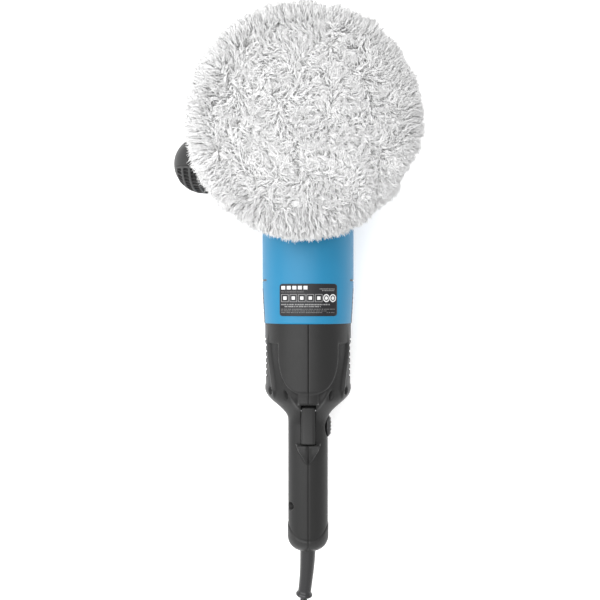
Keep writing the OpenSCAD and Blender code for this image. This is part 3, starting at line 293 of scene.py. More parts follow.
class Finish:
    """A material: one Principled shader, its fixed sockets, and what varies over the surface."""

    def __init__(self, name, **fixed):
        self.material = bpy.data.materials.new(name)
        self.material.use_nodes = True
        self.tree = self.material.node_tree
        self.shader = self.tree.nodes["Principled BSDF"]
        self.sockets = {s.name.lower().replace(" ", "_"): s for s in self.shader.inputs}
        for key, value in fixed.items():
            self.sockets[key].default_value = value
        self.place = self.node("ShaderNodeTexCoord").outputs["Object"]

    def node(self, kind, settings=None, values=None):
        """A node of that type, with its settings first and then its sockets' values or links."""
        made = self.tree.nodes.new(kind)
        for key, value in (settings or {}).items():
            setattr(made, key, value)
        for key, value in (values or {}).items():
            if isinstance(value, Value):
                self.tree.links.new(value.socket, made.inputs[key])
            elif isinstance(value, bpy.types.NodeSocket):
                self.tree.links.new(value, made.inputs[key])
            else:
                made.inputs[key].default_value = value
        return made

    def noise(self, size, detail=2.0, stretch=(1.0, 1.0, 1.0), rough=0.5):
        """Noise with features of about that size in metres, longer where stretch is above 1."""
        mapping = self.node("ShaderNodeMapping", None, {
            "Vector": self.place, "Scale": tuple(1 / s for s in stretch)})
        made = self.node("ShaderNodeTexNoise", None, {
            "Vector": mapping.outputs[0], "Scale": 1 / size, "Detail": detail, "Roughness": rough})
        return Value(self, made.outputs["Fac"])

    def cells(self, size):
        """Distance to the nearest of many scattered points, in cells of about that size."""
        made = self.node("ShaderNodeTexVoronoi", None, {"Vector": self.place, "Scale": 1 / size})
        return Value(self, made.outputs["Distance"])

    def coordinate(self, axis):
        """One of the piece's own coordinates in metres."""
        made = self.node("ShaderNodeSeparateXYZ", None, {0: self.place})
        return Value(self, made.outputs[axis])

    def mark(self, name):
        """A number kept at the piece's points."""
        return Value(self, self.node("ShaderNodeAttribute", {"attribute_name": name}).outputs["Fac"])

    def mix(self, low, high, amount):
        """A colour between two others."""
        made = self.node("ShaderNodeMix", {"data_type": "RGBA"}, {0: amount, 6: low, 7: high})
        return Value(self, made.outputs[2])

    def set(self, **values):
        """Feeds what varies to the shader's sockets."""
        for key, value in values.items():
            self.tree.links.new(value.socket, self.sockets[key])
        return self

    def bump(self, height, depth, normal=None):
        """Raises the surface by height times depth metres, from its own normal or another."""
        made = self.node("ShaderNodeBump", None, {
            "Strength": 1.0, "Distance": depth, "Height": height})
        if normal is not None:
            self.tree.links.new(normal, made.inputs["Normal"])
        self.tree.links.new(made.outputs[0], self.shader.inputs["Normal"])
        return self


def grey(level):
    """An opaque grey."""
    return (level, level, level, 1.0)


def moulded(name, colour, roughness, grain=0.35 * MM, depth=0.03 * MM, spread=0.12, **fixed):
    """Moulded plastic or rubber: fine spark-eroded grain, and a slight unevenness of tone."""
    f = Finish(name, **fixed)
    tone = f.noise(9 * MM, 3.0)
    fine = f.noise(grain, 2.0)
    dark = tuple(c * (1 - spread) for c in colour) + (1.0,)
    light = tuple(min(1.0, c * (1 + spread)) for c in colour) + (1.0,)
    f.set(base_color=f.mix(dark, light, tone),
          roughness=roughness - 0.04 + 0.08 * f.noise(2.2 * MM))
    return f.bump(fine, depth)


def housing_plastic(name, colour, roughness):
    """Moulded plastic of the rear handle: painted shade in its recesses, a darker line along the seam,
    painted highlights along the raised edges, and a little lighter on the end collar."""
    f = Finish(name, specular_ior_level=0.26)
    tone = f.noise(14 * MM, 3.0)
    fine = f.noise(0.45 * MM, 2.0)
    base = f.mix(grey(colour * 0.9), grey(colour * 1.12), tone)
    # painted highlight: the raised edges are painted up to four times lighter, in patches
    highlighted = f.mix(base, grey(colour * 4.0), f.mark("painted_highlight") * (0.35 + 0.5 * f.noise(1.6 * MM)))
    collar = f.mix(highlighted, grey(colour * 1.7), f.mark("collar"))
    # painted shade: recesses are painted nearly black and rougher; the seam line is darkened as a dark joint
    f.set(base_color=f.mix(collar, grey(0.004), f.mark("recess_shade_and_seam")),
          roughness=roughness - 0.05 + 0.1 * f.noise(3 * MM) + 0.3 * f.mark("recess_shade_and_seam"))
    return f.bump(fine, 0.035 * MM)


def blue_plastic():
    """Smooth blue moulding with a satin skin, with painted shade, nearly black, inside its side grooves."""
    f = Finish("blue_housing", specular_ior_level=0.3, coat_weight=0.12, coat_roughness=0.42)
    tone = f.noise(22 * MM, 3.0)
    fine = f.noise(0.5 * MM, 2.0)
    base = f.mix((0.003, 0.150, 0.290, 1.0), (0.004, 0.166, 0.318, 1.0), tone)
    # painted shade: the side grooves are painted nearly black
    f.set(base_color=f.mix(base, grey(0.006), f.mark("groove").over(0.05, 0.4)),
          roughness=0.40 + 0.06 * f.noise(2.2 * MM))
    return f.bump(fine, 0.012 * MM)


def metal(name, colour, roughness, streak=(1.0, 1.0, 1.0), size=0.6 * MM, depth=0.01 * MM, spread=0.12):
    """Metal with fine marks, drawn out along the way it was worked."""
    f = Finish(name, metallic=1.0)
    marks = f.noise(size, 3.0, streak)
    dark = tuple(c * (1 - spread) for c in colour) + (1.0,)
    light = tuple(min(1.0, c * (1 + spread)) for c in colour) + (1.0,)
    f.set(base_color=f.mix(dark, light, f.noise(4 * MM, 3.0)),
          roughness=roughness - 0.08 + 0.16 * marks)
    return f.bump(marks, depth)


def cast_metal():
    """Blasted cast aluminium: a fine pebbled skin with a few shallow pits."""
    f = Finish("cast_aluminium", metallic=0.9)
    pebble = f.noise(0.7 * MM, 4.0)
    pits = 1 - f.cells(2.6 * MM).over(0.05, 0.22)
    f.set(base_color=f.mix(grey(0.36), grey(0.56), f.noise(11 * MM, 4.0)),
          roughness=0.42 + 0.2 * pebble)
    return f.bump(pebble - 0.4 * pits, 0.09 * MM)


def laminated_steel():
    """A stack of half-millimetre sheets, seen as fine rings across the motor axis."""
    f = Finish("core_steel", metallic=0.9)
    sheets = f.coordinate("Y").wave(1 / (0.5 * MM)) * 0.5 + 0.5
    f.set(base_color=f.mix(grey(0.16), grey(0.34), sheets * (0.6 + 0.4 * f.noise(5 * MM))),
          roughness=0.38 + 0.2 * f.noise(2 * MM))
    return f.bump(sheets, 0.05 * MM)


def wound_copper():
    """Enamelled wire laid side by side along the motor."""
    f = Finish("copper_winding", metallic=0.85, coat_weight=0.4)
    lay = (f.coordinate("Z") + 0.7 * f.coordinate("X")).wave(1 / (0.9 * MM)) * 0.5 + 0.5
    f.set(base_color=f.mix((0.30, 0.10, 0.04, 1.0), (0.72, 0.34, 0.15, 1.0), lay),
          roughness=0.3 + 0.15 * f.noise(1.5 * MM))
    return f.bump(lay, 0.2 * MM)


def foam():
    """Open-cell foam: round pores of several sizes."""
    f = Finish("pad_foam", roughness=0.95)
    pores = f.cells(1.1 * MM).over(0.15, 0.6) * f.cells(0.5 * MM).over(0.1, 0.6)
    # painted shade: the pores are painted a darker brown than the foam between them
    f.set(base_color=f.mix((0.30, 0.25, 0.12, 1.0), (0.80, 0.72, 0.46, 1.0), pores))
    return f.bump(pores, 0.35 * MM)


def circuit():
    """Green board with paler tracks."""
    f = Finish("circuit_board", roughness=0.35)
    tracks = f.coordinate("X").wave(1 / (2.5 * MM)).over(0.55, 0.7)
    f.set(base_color=f.mix((0.012, 0.10, 0.045, 1.0), (0.06, 0.26, 0.12, 1.0),
                           tracks * f.noise(6 * MM).over(0.45, 0.55)))
    return f.bump(tracks, 0.05 * MM)


def wool():
    """White lambswool, its tone drifting from clump to clump, and its roots painted a little whiter
    than its tips as painted light against the shade between the locks.  Light falls on it as on a
    soft round mass: its normal is mostly that of a flat ellipsoid, (x, y, 8 z) from the bonnet's middle."""
    f = Finish("white_wool", roughness=0.95)
    fibre = f.noise(0.35 * MM, 2.0)
    # painted light: the roots are painted a little whiter than the tips, against the shade between the locks; the
    # tone mark adds a random drift
    root_light_and_tone = f.mark("reach").over(-0.2, 0.8) * (0.86 + 0.14 * f.mark("tone"))
    f.set(base_color=f.mix((0.96, 0.96, 0.96, 1.0), (0.94, 0.94, 0.938, 1.0), root_light_and_tone))
    out = f.node("ShaderNodeVectorMath", {"operation": "SUBTRACT"},
                 {0: f.place, 1: (BONNET_SHIFT[0] * MM, BONNET_SHIFT[1] * MM, 108 * MM)}).outputs[0]
    out = f.node("ShaderNodeVectorMath", {"operation": "MULTIPLY"},
                 {0: out, 1: (1.0, 1.0, 8.0)}).outputs[0]
    out = f.node("ShaderNodeVectorTransform", {"vector_type": "NORMAL", "convert_from": "OBJECT",
                 "convert_to": "WORLD"}, {0: f.node("ShaderNodeVectorMath", {"operation": "NORMALIZE"},
                                                    {0: out}).outputs[0]}).outputs[0]
    own = f.node("ShaderNodeNewGeometry").outputs["Normal"]
    soft = f.node("ShaderNodeMix", {"data_type": "VECTOR"}, {0: 0.94, 4: own, 5: out}).outputs[1]
    soft = f.node("ShaderNodeVectorMath", {"operation": "NORMALIZE"}, {0: soft}).outputs[0]
    return f.bump(fibre, 0.05 * MM, soft)


def hide():
    """The knitted backing under the locks."""
    f = Finish("wool_backing", roughness=0.95)
    knit = f.cells(2.2 * MM)
    f.set(base_color=f.mix((0.80, 0.80, 0.795, 1.0), (0.88, 0.88, 0.875, 1.0), knit))
    return f.bump(knit, 0.6 * MM)


def twisted_yarn():
    """Cotton cord: short fibres along the lay of its strands."""
    f = Finish("drawcord", roughness=0.9)
    strand = f.mark("strand")
    # painted shade: the creases between the strands are painted darker than the strands' crowns
    f.set(base_color=f.mix((0.55, 0.55, 0.54, 1.0), (0.84, 0.84, 0.82, 1.0), strand))
    return f.bump(strand + 0.4 * f.noise(0.5 * MM), 0.3 * MM)


def woven_strap():
    """Hook-and-loop strap: small loops over a dark weave."""
    f = Finish("tie_strap", roughness=0.9)
    loops = f.cells(0.9 * MM)
    f.set(base_color=f.mix(grey(0.02), grey(0.07), loops))
    return f.bump(loops, 0.3 * MM)


def ink(name, level):
    """Printed ink with a little wear."""
    f = Finish(name, roughness=0.5)
    wear = f.noise(0.9 * MM, 3.0).over(0.25, 0.6)
    f.set(base_color=f.mix(grey(level * 0.75), grey(level), wear))
    return f.bump(wear, 0.01 * MM)


def make_finishes():
    """One finish for each of the record's material slots."""
    near_black = (0.012, 0.012, 0.013)
    return {
        "cast_aluminium": cast_metal(),
        "dark_steel": metal("dark_steel", (0.10, 0.10, 0.105), 0.35),
        "bearing_steel": metal("bearing_steel", (0.62, 0.62, 0.63), 0.22, (1.0, 1.0, 0.2)),
        "spring_steel": metal("spring_steel", (0.40, 0.40, 0.41), 0.3),
        "gear_steel": metal("gear_steel", (0.33, 0.33, 0.35), 0.3, (0.3, 3.0, 0.3)),
        "core_steel": laminated_steel(),
        "copper_winding": wound_copper(),
        "brass_holder": metal("brass_holder", (0.70, 0.50, 0.20), 0.28, (3.0, 0.5, 0.5)),
        "carbon": moulded("carbon", (0.02, 0.02, 0.02), 0.7),
        "black_rubber": moulded("black_rubber", (0.008, 0.008, 0.009), 0.24, 0.5 * MM, 0.005 * MM),
        "cord_sheath": moulded("cord_sheath", near_black, 0.42, 0.5 * MM),
        "plug_plastic": moulded("plug_plastic", (0.016, 0.016, 0.017), 0.38),
        "tie_strap": woven_strap(),
        "blue_housing": blue_plastic(),
        "black_plastic": moulded("black_plastic", (0.014, 0.014, 0.015), 0.4),
        "grey_housing": housing_plastic("grey_housing", 0.0098, 0.42),
        "handle_plastic": moulded("handle_plastic", (0.04, 0.04, 0.042), 0.42),
        "grip_rubber": moulded("grip_rubber", (0.09, 0.09, 0.093), 0.5),
        "label": moulded("label", (0.006, 0.006, 0.008), 0.42, 0.3 * MM, 0.006 * MM,
                         specular_ior_level=0.3),
        "circuit_board": circuit(),
        "pad_foam": foam(),
        "white_wool": wool(),
        "drawcord": twisted_yarn(),
    }


# ---------------------------------------------------------------- the mains lead

LEAD_D = 7 * MM
LEAD_ROUTE = [
    (-4, -459, 40), (-6, -486, 37), (-7, -500, 34), (-8, -513, 29), (-8, -526, 23),
    (-8, -539, 16), (-8, -552, 9), (-8, -565, 5), (-8, -578, 3.5), (-8, -590, 3.5)]
TAIL_ROUTE = [(86, -590, 17.5), (86, -578, 17), (86, -566, 14.5), (86, -556, 13), (86, -550, 13)]
COIL_CENTRE = (39, -590)
# The coil's turns in the order that they are laid, as (radius, height)
COIL_TURNS = [(47, 3.5), (40, 3.5), (33, 3.5), (33, 10.5), (40, 10.5), (33, 17.5), (40, 17.5),
              (47, 10.5), (47, 17.5)]
PLUG_FROM = -550


def coil_path():
    """centre + r (cos a, sin a) at height z, where r and z pass from one turn's values to the next
    over a sixth of a turn."""
    per_turn = 40
    a = np.pi + TURN * np.arange(1, int(8.5 * per_turn)) / per_turn
    laid = (a - np.pi) / TURN
    turn = np.floor(laid + 1 / 12)
    part = smooth(0.0, 1.0, (laid + 1 / 12 - turn) * 6)
    table = np.array(COIL_TURNS, float)
    now = table[np.minimum(turn.astype(int), len(table) - 1)]
    before = table[np.maximum(turn.astype(int) - 1, 0)]
    r, z = (before + (now - before) * part[:, None]).T
    return np.stack([COIL_CENTRE[0] + r * np.cos(a), COIL_CENTRE[1] + r * np.sin(a), z], axis=-1)


def make_lead(finishes):
    """The whole lead as one tube, its plug, and the strain relief that it leaves."""
    path = np.concatenate([
        smooth_route(LEAD_ROUTE, 4)[:-1], coil_path(), smooth_route(TAIL_ROUTE, 4)]) * MM
    rings = carried(ring_of(LEAD_D / 2, 14), path)
    lead = make("mains_lead", outwards(capped(rings)), finishes["cord_sheath"],
                stands_for=("power_cord", "cord_coil"))
    plug = make_plug(finishes)
    inner = np.linspace([0, -384, AXIS_H / MM], [-4, -459.5, 40.0], 24) * MM
    make("inner_lead_sheath", outwards(capped(carried(ring_of(LEAD_D / 2, 14), inner))),
         finishes["cord_sheath"], stands_for=("inner_lead",))
    make_cord_guard(finishes)


def make_plug(finishes):
    """A moulded plug turned about the lead, flattened to an oval with ribs where fingers pull, and
    two round pins with rounded ends."""
    h = steps([0.0, 12.0, 16.0, 34.0, 38.0], 0.7)
    body = ease(5.0, 6.2, h / 12) + ease(0.0, 6.3, (h - 11) / 8)
    body = body - 0.7 * (0.5 - 0.5 * np.cos(TURN * h / 2.8)) * smooth(16, 18, h) * (1 - smooth(31, 33, h))
    body = body * np.sqrt(1 - (np.clip(h - 35.5, 0, 2.4) / 3.2) ** 2)
    rings = turned(body * MM, h * MM, 40, (86 * MM, PLUG_FROM * MM, 13 * MM), (0, 1, 0), (1, 0, 0))
    rings[..., 2] = 13 * MM + (rings[..., 2] - 13 * MM) * np.where(h > 12, 0.92, 1.0)[:, None]
    shapes = [outwards(capped(rings))]
    for x in (-9.5, 9.5):
        g = steps([0.0, 18.0, 20.0], 0.5)
        r = 2.0 * np.sqrt(1 - (np.clip(g - 18, 0, 1.9) / 2) ** 2)
        pin = turned(r * MM, g * MM, 18, ((86 + x) * MM, (PLUG_FROM + 37) * MM, 13 * MM),
                     (0, 1, 0), (1, 0, 0))
        shapes.append(outwards(capped(pin)))
    return make("mains_plug", joined(*shapes), finishes["plug_plastic"], stands_for=("plug",))


def make_cord_guard(finishes):
    """A tapered rubber sleeve, slightly flattened, with a soft ridge along its top and a flared lip
    at its tip: radius = taper + lip, times 1 + 0.04 cos 2a + ridge."""
    t = steps([0.0, 0.06, 0.88, 1.0], 0.012)
    base, tip = np.array([0, -399, AXIS_H / MM]), np.array([-4, -459, 40.0])
    path = base + (tip - base) * t[:, None]
    path[:, 0] += 1.1 * np.sin(np.pi * t)
    radius = (ease(7.6, 6.3, t) + 1.8 * smooth(0.91, 0.965, t) - 0.9 * smooth(0.98, 1.0, t)
              + 1.2 * (1 - smooth(0.0, 0.05, t)))
    a = TURN * np.arange(32) / 32
    profile = np.stack([np.cos(a), np.sin(a)], axis=-1) * (
        1 + 0.04 * np.cos(2 * a) + 0.10 * np.exp(-(((a - 1.75) / 0.22) ** 2)))[:, None]
    make("cord_guard_sleeve", outwards(capped(carried(profile * MM, path * MM, radius))),
         finishes["black_rubber"], stands_for=("cord_guard",))


# ---------------------------------------------------------------- motor housing and label

MOTOR_FRONT = 64.0
COVER_MIDDLE, COVER_HALF = 166.4, 17.6


def motor_radius(d):
    """45.5 to d = 148, then straight down to 43.5 at d = 184."""
    return 45.5 - 2.0 * np.clip((d - 148) / 36, 0, 1)


def around_motor(radius, d, a):
    """The point at distance d, angle a from straight up towards +X, and that radius."""
    return np.stack([radius * np.sin(a), np.broadcast_to(-d, np.shape(radius)),
                     AXIS_H / MM + radius * np.cos(a)], axis=-1) * MM


def make_motor_housing(finishes):
    """A round shell with a rolled front lip, a groove at each side, and four lugs: radius = skin -
    grooves, carried round the outside and back through the bore."""
    d = steps([64.0, 66.0, 141.0, 142.2, 148.2, 148.9, 184.0], 1.4)
    d = np.unique(np.concatenate([d, [140.6, 141.0, 141.6, 142.2, 142.6, 183.2, 183.7]]))
    a = TURN * np.arange(160) / 160
    grid_d, grid_a = np.meshgrid(d, a, indexing="ij")
    r = motor_radius(grid_d) - 0.9 * (1 - np.sqrt(np.clip((grid_d - 64) / 1.6, 0, 1)))
    side = np.abs(np.sin(grid_a)) * r
    arc = (np.abs(np.arcsin(np.clip(np.cos(grid_a), -1, 1))) * r)
    groove = (smooth(140.5, 141.0, grid_d) - smooth(142.2, 142.6, grid_d)) * (1 - smooth(19, 20.5, arc))
    groove = groove * (side > 20)
    r = r - 0.5 * groove - 0.5 * smooth(183.2, 184, grid_d)
    inner_d = np.array([189.0, 189.0, 100.0, 64.0])
    inner_r = np.array([39.9, 37.0, 40.6, 41.0])
    inner = around_motor(np.repeat(inner_r[:, None], len(a), 1), inner_d[:, None], a[None, :])
    shoulder = around_motor(np.full((1, len(a)), 39.9), np.array([[184.0]]), a[None, :])
    rings = np.concatenate([around_motor(r, grid_d, grid_a), shoulder, inner])
    shapes = [outwards(skin(rings, loop=True))]
    for x in (-38, 38):
        for z in (-33.2, 33.2):
            h = steps([0.0, 7.0, 8.0], 0.5)
            lug = 6.5 * np.sqrt(1 - (np.clip(h - 6.6, 0, 1.3) / 2.4) ** 2)
            shapes.append(outwards(capped(turned(
                lug * MM, -(MOTOR_FRONT + h) * MM, 28,
                (x * MM, 0, AXIS_H + z * MM), (0, 1, 0), (1, 0, 0)))))
    points, faces = joined(*shapes)
    # the groove mask also goes to the finish, for painted shade inside the grooves
    dark = np.zeros(len(points))
    dark[:groove.size] = groove.ravel()
    make("motor_shell", (points, faces), finishes["blue_housing"], stands_for=("motor_housing",),
         marks={"groove": dark})


def make_brush_covers(finishes):
    """A rounded rectangular cap on each side, 0.15 proud of the housing, with grip ribs."""
    for side, name in ((-1, "brush_cover_left"), (1, "brush_cover_right")):
        u = np.linspace(-1, 1, 25)
        v = steps([-10.0, -9.0, 9.0, 10.0], 0.7)
        corner = COVER_HALF - 3 + np.sqrt(np.clip(9 - np.clip(np.abs(v) - 7, 0, 3) ** 2, 0, None))
        d = COVER_MIDDLE + u[:, None] * corner[None, :]
        away = np.abs(d - COVER_MIDDLE)
        angle = v[None, :] / 44.5 * np.ones_like(d)
        rib = 0.25 * np.exp(-((away % 5 - 2.5) / 0.7) ** 2) * (away < 8)
        edge = smooth(0.0, 0.9, np.minimum(corner[None, :] - away, 10 - np.abs(v)[None, :]))
        r = motor_radius(d) - 0.05 + 0.2 * edge + rib * edge
        outer = around_motor(r, d, side * (np.pi / 2 - angle))
        inner = around_motor(motor_radius(d) - 2.2, d, side * (np.pi / 2 - angle))
        rings = np.concatenate([outer, inner[:, ::-1]], axis=1)
        make(name, outwards(capped(rings)), finishes["black_plastic"],
             stands_for=("brush_covers",) if side < 0 else ())


LABEL_W, LABEL_H, LABEL_MIDDLE = 55.0, 30.8, 161.0


def on_label(u, v, lift):
    """A point u across and v down the label from its middle, lift above the housing."""
    d = LABEL_MIDDLE + v
    r = motor_radius(d) + lift
    return around_motor(r, d, np.arcsin(u / r))


def make_label(finishes):
    """A rounded rectangle on the top of the housing; its half width at v is
    W/2 - c + sqrt(c^2 - (|v| - H/2 + c)^2) within c of each end."""
    c = 2.6
    v = steps([-LABEL_H / 2, -LABEL_H / 2 + c, LABEL_H / 2 - c, LABEL_H / 2], 0.5)
    past = np.clip(np.abs(v) - LABEL_H / 2 + c, 0, c)
    half = LABEL_W / 2 - c + np.sqrt(np.clip(c**2 - past**2, 0.04, None))
    s = np.linspace(-1, 1, 41)
    u = half[:, None] * s[None, :]
    grid_v = v[:, None] * np.ones_like(s)[None, :]
    top = on_label(u, grid_v, 0.34)
    under = on_label(u, grid_v, 0.02)[:, ::-1]
    make("rating_plate", outwards(capped(np.concatenate([top, under], axis=1))), finishes["label"],
         stands_for=("rating_label",))
    make_label_marks()


def bars(boxes, lift=0.4):
    """Thin curved strips on the label, each from (u0, v0) to (u1, v1)."""
    b = np.asarray(boxes, float)
    s = np.linspace(0, 1, 4)
    u = b[:, None, None, 0] + (b[:, 2] - b[:, 0])[:, None, None] * s[None, None, :]
    v = b[:, None, None, 1] + (b[:, 3] - b[:, 1])[:, None, None] * np.array([0.0, 1.0])[None, :, None]
    u, v = np.broadcast_arrays(u, v)
    points = on_label(u.reshape(-1), v.reshape(-1), np.full(u.size, lift))
    one = quads(2, 4, False, False)
    faces = (one[None] + 8 * np.arange(len(b))[:, None, None]).reshape(-1, 4)
    return points, [faces[:, ::-1]]


def disc(u, v, ru, rv, inside=0.0, lift=0.4):
    """A flat ellipse, or a band between inside and 1 times its size."""
    a = TURN * np.arange(28) / 28
    scale = np.array([max(inside, 0.02), 1.0])[:, None]
    points = on_label((u + ru * scale * np.cos(a)).reshape(-1), (v + rv * scale * np.sin(a)).reshape(-1),
                      np.full(56, lift))
    return points, [quads(2, 28)]


def words(v0, v1, spans, seed):
    """A line of short bars of seeded lengths, between the given starts and ends."""
    chance = np.random.default_rng(seed)
    out = []
    for start, end in spans:
        u = start
        while u < end - 0.8:
            w = min(float(chance.uniform(0.5, 1.5)), end - u)
            out.append((u, v0, u + w, v1))
            u += w + float(chance.choice([0.3, 0.3, 0.3, 0.9]))
    return out


def make_label_marks():
    """Plain bars, frames and discs where a rating plate has its print."""
    left, top = -LABEL_W / 2, -LABEL_H / 2
    bold = [(left + 1.6 + 5.3 * k, top + 2.0, left + 5.4 + 5.3 * k, top + 5.4) for k in range(5)]
    light = words(top + 4.6, top + 5.2, [(left + 38.2, left + 52.8)], 3)
    light += words(top + 6.2, top + 6.8, [(left + 40.4, left + 52.8)], 4)
    dim = words(top + 7.4, top + 8.0, [(left + 1.6, left + 24.0)], 5)
    frames, inside = [], []
    for k in range(5):
        u0, v0 = left + 1.6 + 8.05 * k, top + 9.9
        u1, v1, w = u0 + 7.0, v0 + 7.4, 0.45
        frames += [(u0, v0, u1, v0 + w), (u0, v1 - w, u1, v1), (u0, v0, u0 + w, v1), (u1 - w, v0, u1, v1)]
        inside.append((u0 + 1.9, v0 + 2.1, u1 - 1.9, v1 - 2.1))
    lines = words(top + 19.2, top + 20.3, [(left + 1.6, left + 48.6)], 6)
    lines += words(top + 21.1, top + 22.2, [(left + 4.8, left + 40.0)], 7)
    small = words(top + 23.8, top + 24.5, [(left + 1.6, left + 52.8)], 8)
    small += words(top + 25.5, top + 26.1, [(left + 1.6, left + 44.8)], 9)
    small += words(top + 27.1, top + 27.7, [(left + 1.6, left + 41.0), (left + 44.8, left + 52.8)], 10)
    rings = [disc(left + u, top + 13.6, ru, rv, hole) for u in (44.6, 50.9)
             for ru, rv, hole in ((3.1, 3.8, 0.72), (1.4, 1.7, 0.0))]
    bright = joined(bars(bold), bars(inside), *rings)
    make("label_print", bright, ink("label_print", 0.62))
    make("label_frames", bars(light + frames + lines), ink("label_frames", 0.24))
    make("label_small_print", bars(dim + small), ink("label_small_print", 0.13))


# ---------------------------------------------------------------- rear handle

GRIP_REAR = 410.0
SCREWS = [(198, -34), (244, -30), (364, 13), (322, -14), (386, -13)]


def end_round(d):
    """sqrt(1 - t^2), where t rises to 0.9 over the last 15 of the handle."""
    t = 0.9 * np.clip((d - GRIP_REAR + 15) / 15, 0, 1)
    return np.sqrt(1 - t**2)


def handle_section(d, a):
    """x and z over the motor axis: a circle of radius R(d) whose sides are trimmed to the plan
    outline H(d), blended by x = R sin a / (1 + (R |sin a| / 1.02 H)^14)^(1/14)."""
    big = end_round(d) * ease(43.0, 22.0, (d - 248) / 36)
    half = end_round(d) * (ease(43.0, 19.75, (d - 248) / 30) + 9 * (1 - smooth(244, 266, d)))
    x = big * np.sin(a)
    x = x / (1 + (np.abs(x) / (half * 1.02)) ** 14) ** (1 / 14)
    return x, big * np.cos(a)


def plan_band(x, half):
    """1 within half of the seam, falling to 0 over 0.8."""
    return 1 - smooth(half - 0.4, half + 0.4, np.abs(x))


def pit(u, v, ru, rv):
    """1 inside an ellipse, falling to 0 at its edge."""
    return 1 - smooth(0.65, 1.1, np.sqrt((u / ru) ** 2 + (v / rv) ** 2))


def handle_shell(side):
    """One half of the rear handle on a grid of distance d and angle a from the top seam.

    The section above is moved outwards by: the apron + 0.7 inside (|x|/29)^2.6 + ((d-207)/44)^2.6 = 1,
    the side panels - 1.7, a rib along each panel's outer edge, pits at the corners, slots, screw
    wells, the end collar, and a fine groove at the seam.  The block, the trigger's well and the
    finger stop set the height instead."""
    d = steps([184.0, 184.6, 203.0, 211.4, 232.6, 250.4, 261.2, 262.2, 262.5, 301.6, 301.9, 323.0,
               380.0, 409.2, GRIP_REAR], 1.0)
    slots = np.array([200 + 6 * k + e for k in range(7) for e in (-1.35, -1.05, 1.05, 1.35)])
    d = np.unique(np.concatenate([d, slots]))
    d = d[np.concatenate([[True], np.diff(d) > 0.12])]
    wide, bottom = ease(43.0, 22.0, (d - 248) / 36), np.pi
    edge, dial = np.arcsin(7.2 / wide), np.arcsin(3.6 / wide)
    inner = np.arcsin(6.95 / wide)
    stops = np.stack([0 * d, 0.011 + 0 * d, inner, edge, edge + 0.06, np.full_like(d, np.arccos(13 / 43)),
                      np.full_like(d, np.arccos(-9 / 43)), bottom - dial, bottom - dial * 0.9,
                      np.full_like(d, bottom - 0.011), np.full_like(d, bottom)], axis=1)
    counts = [1, 6, 1, 3, 42, 16, 30, 1, 3, 1]
    a = np.concatenate(
        [stops[:, k:k + 1] + (stops[:, k + 1:k + 2] - stops[:, k:k + 1]) * np.arange(n) / n
         for k, n in enumerate(counts)] + [stops[:, -1:]], axis=1)
    dd = np.broadcast_to(d[:, None], a.shape)
    x, z = handle_section(dd, a)
    top = smooth(0, 10, z)
    # the raised apron and what surrounds it
    u_shape = (np.abs(x) / 29) ** 2.6 + (np.clip(dd - 207, 0, None) / 44) ** 2.6
    apron = (1 - smooth(0.94, 1.06, u_shape)) * top
    ridge_x = 39.6 - 5.0 * smooth(203, 252, dd)
    panel = (smooth(202.6, 203.8, dd) * (1 - smooth(250, 260, dd)) * smooth(0.98, 1.1, u_shape)
             * (1 - smooth(-1.6, -0.8, np.abs(x) - ridge_x)) * top)
    rib = (np.exp(-(((np.abs(x) - ridge_x) / 0.9) ** 2)) * smooth(186, 206, dd)
           * (1 - smooth(246, 254, dd)) * top)
    low_panel = (smooth(203, 204.2, dd) * (1 - smooth(243, 247, dd)) * smooth(0.8, 1.8, np.abs(x) - ridge_x)
                 * smooth(-14, -12, z) * (1 - smooth(26, 28, z)))
    out = 0.7 * apron * smooth(196, 210, dd) - 1.7 * panel + 1.0 * rib - 0.7 * low_panel
    # the arms that run from the apron's corners down to the grip
    arm_at = 20.5 - 0.62 * (dd - 246)
    out += (1.5 * np.exp(-(((np.abs(x) - arm_at) / 2.2) ** 2)) * smooth(243, 249, dd)
            * (1 - smooth(262, 272, dd)) * top)
    corner = pit(np.abs(x) - 36.9, dd - 249.5, 1.6, 3.8) * top
    pocket = pit(np.abs(x) - 22.6 + 0.25 * (dd - 252), dd - 252.5, 1.8, 4.8) * top
    out -= 2.6 * corner + 2.4 * pocket
    # the end collar, with a U-shaped line where it begins
    line = dd - (396.2 - 12.5 * (np.abs(x) / 19.0) ** 3)
    collar = smooth(0.2, 1.2, line)
    out += 0.55 * collar * (1 - smooth(404, GRIP_REAR, dd)) - 0.5 * np.exp(-((line / 0.8) ** 2))
    # slots, dial and screws go deep
    deep = np.zeros_like(out)
    for k in range(7):
        deep = np.maximum(deep, (np.abs(dd - 200 - 6 * k) < 1.2) * (z > -9.01) * (z < 13.01)
                          * (np.abs(x) > 35))
    deep = np.maximum(deep, (np.abs(dd - 222) < 10.8) * (np.abs(x) < 3.45) * (z < 0))
    drop = 0.9 * deep
    well = np.zeros_like(out)
    if side < 0:
        for at, high in SCREWS:
            gap = np.hypot(dd - at, z - high) * (np.abs(x) > 8) + 99 * (np.abs(x) <= 8)
            well = np.maximum(well, 1 - smooth(3.2, 3.9, gap))
    out -= drop + 4.2 * well
    seam = np.minimum(np.abs(x), 9)
    out -= 0.45 * np.exp(-((seam / 0.35) ** 2))
    x = x + out * np.sin(a) * (seam > 1e-6)
    z = z + out * np.cos(a)
    roof = smooth(300, 325, dd) * (1 - smooth(398, 409, dd)) * smooth(4, 14, z)
    z = z + roof * (0.9 - 0.11 * np.sqrt(x**2 + 1))
    if side > 0:
        dish = 1 - smooth(0.82, 1.08, np.hypot((dd - 286) / 12.6, (z - 3) / 10.6))
        x = x - 3.0 * dish * (x > 9)
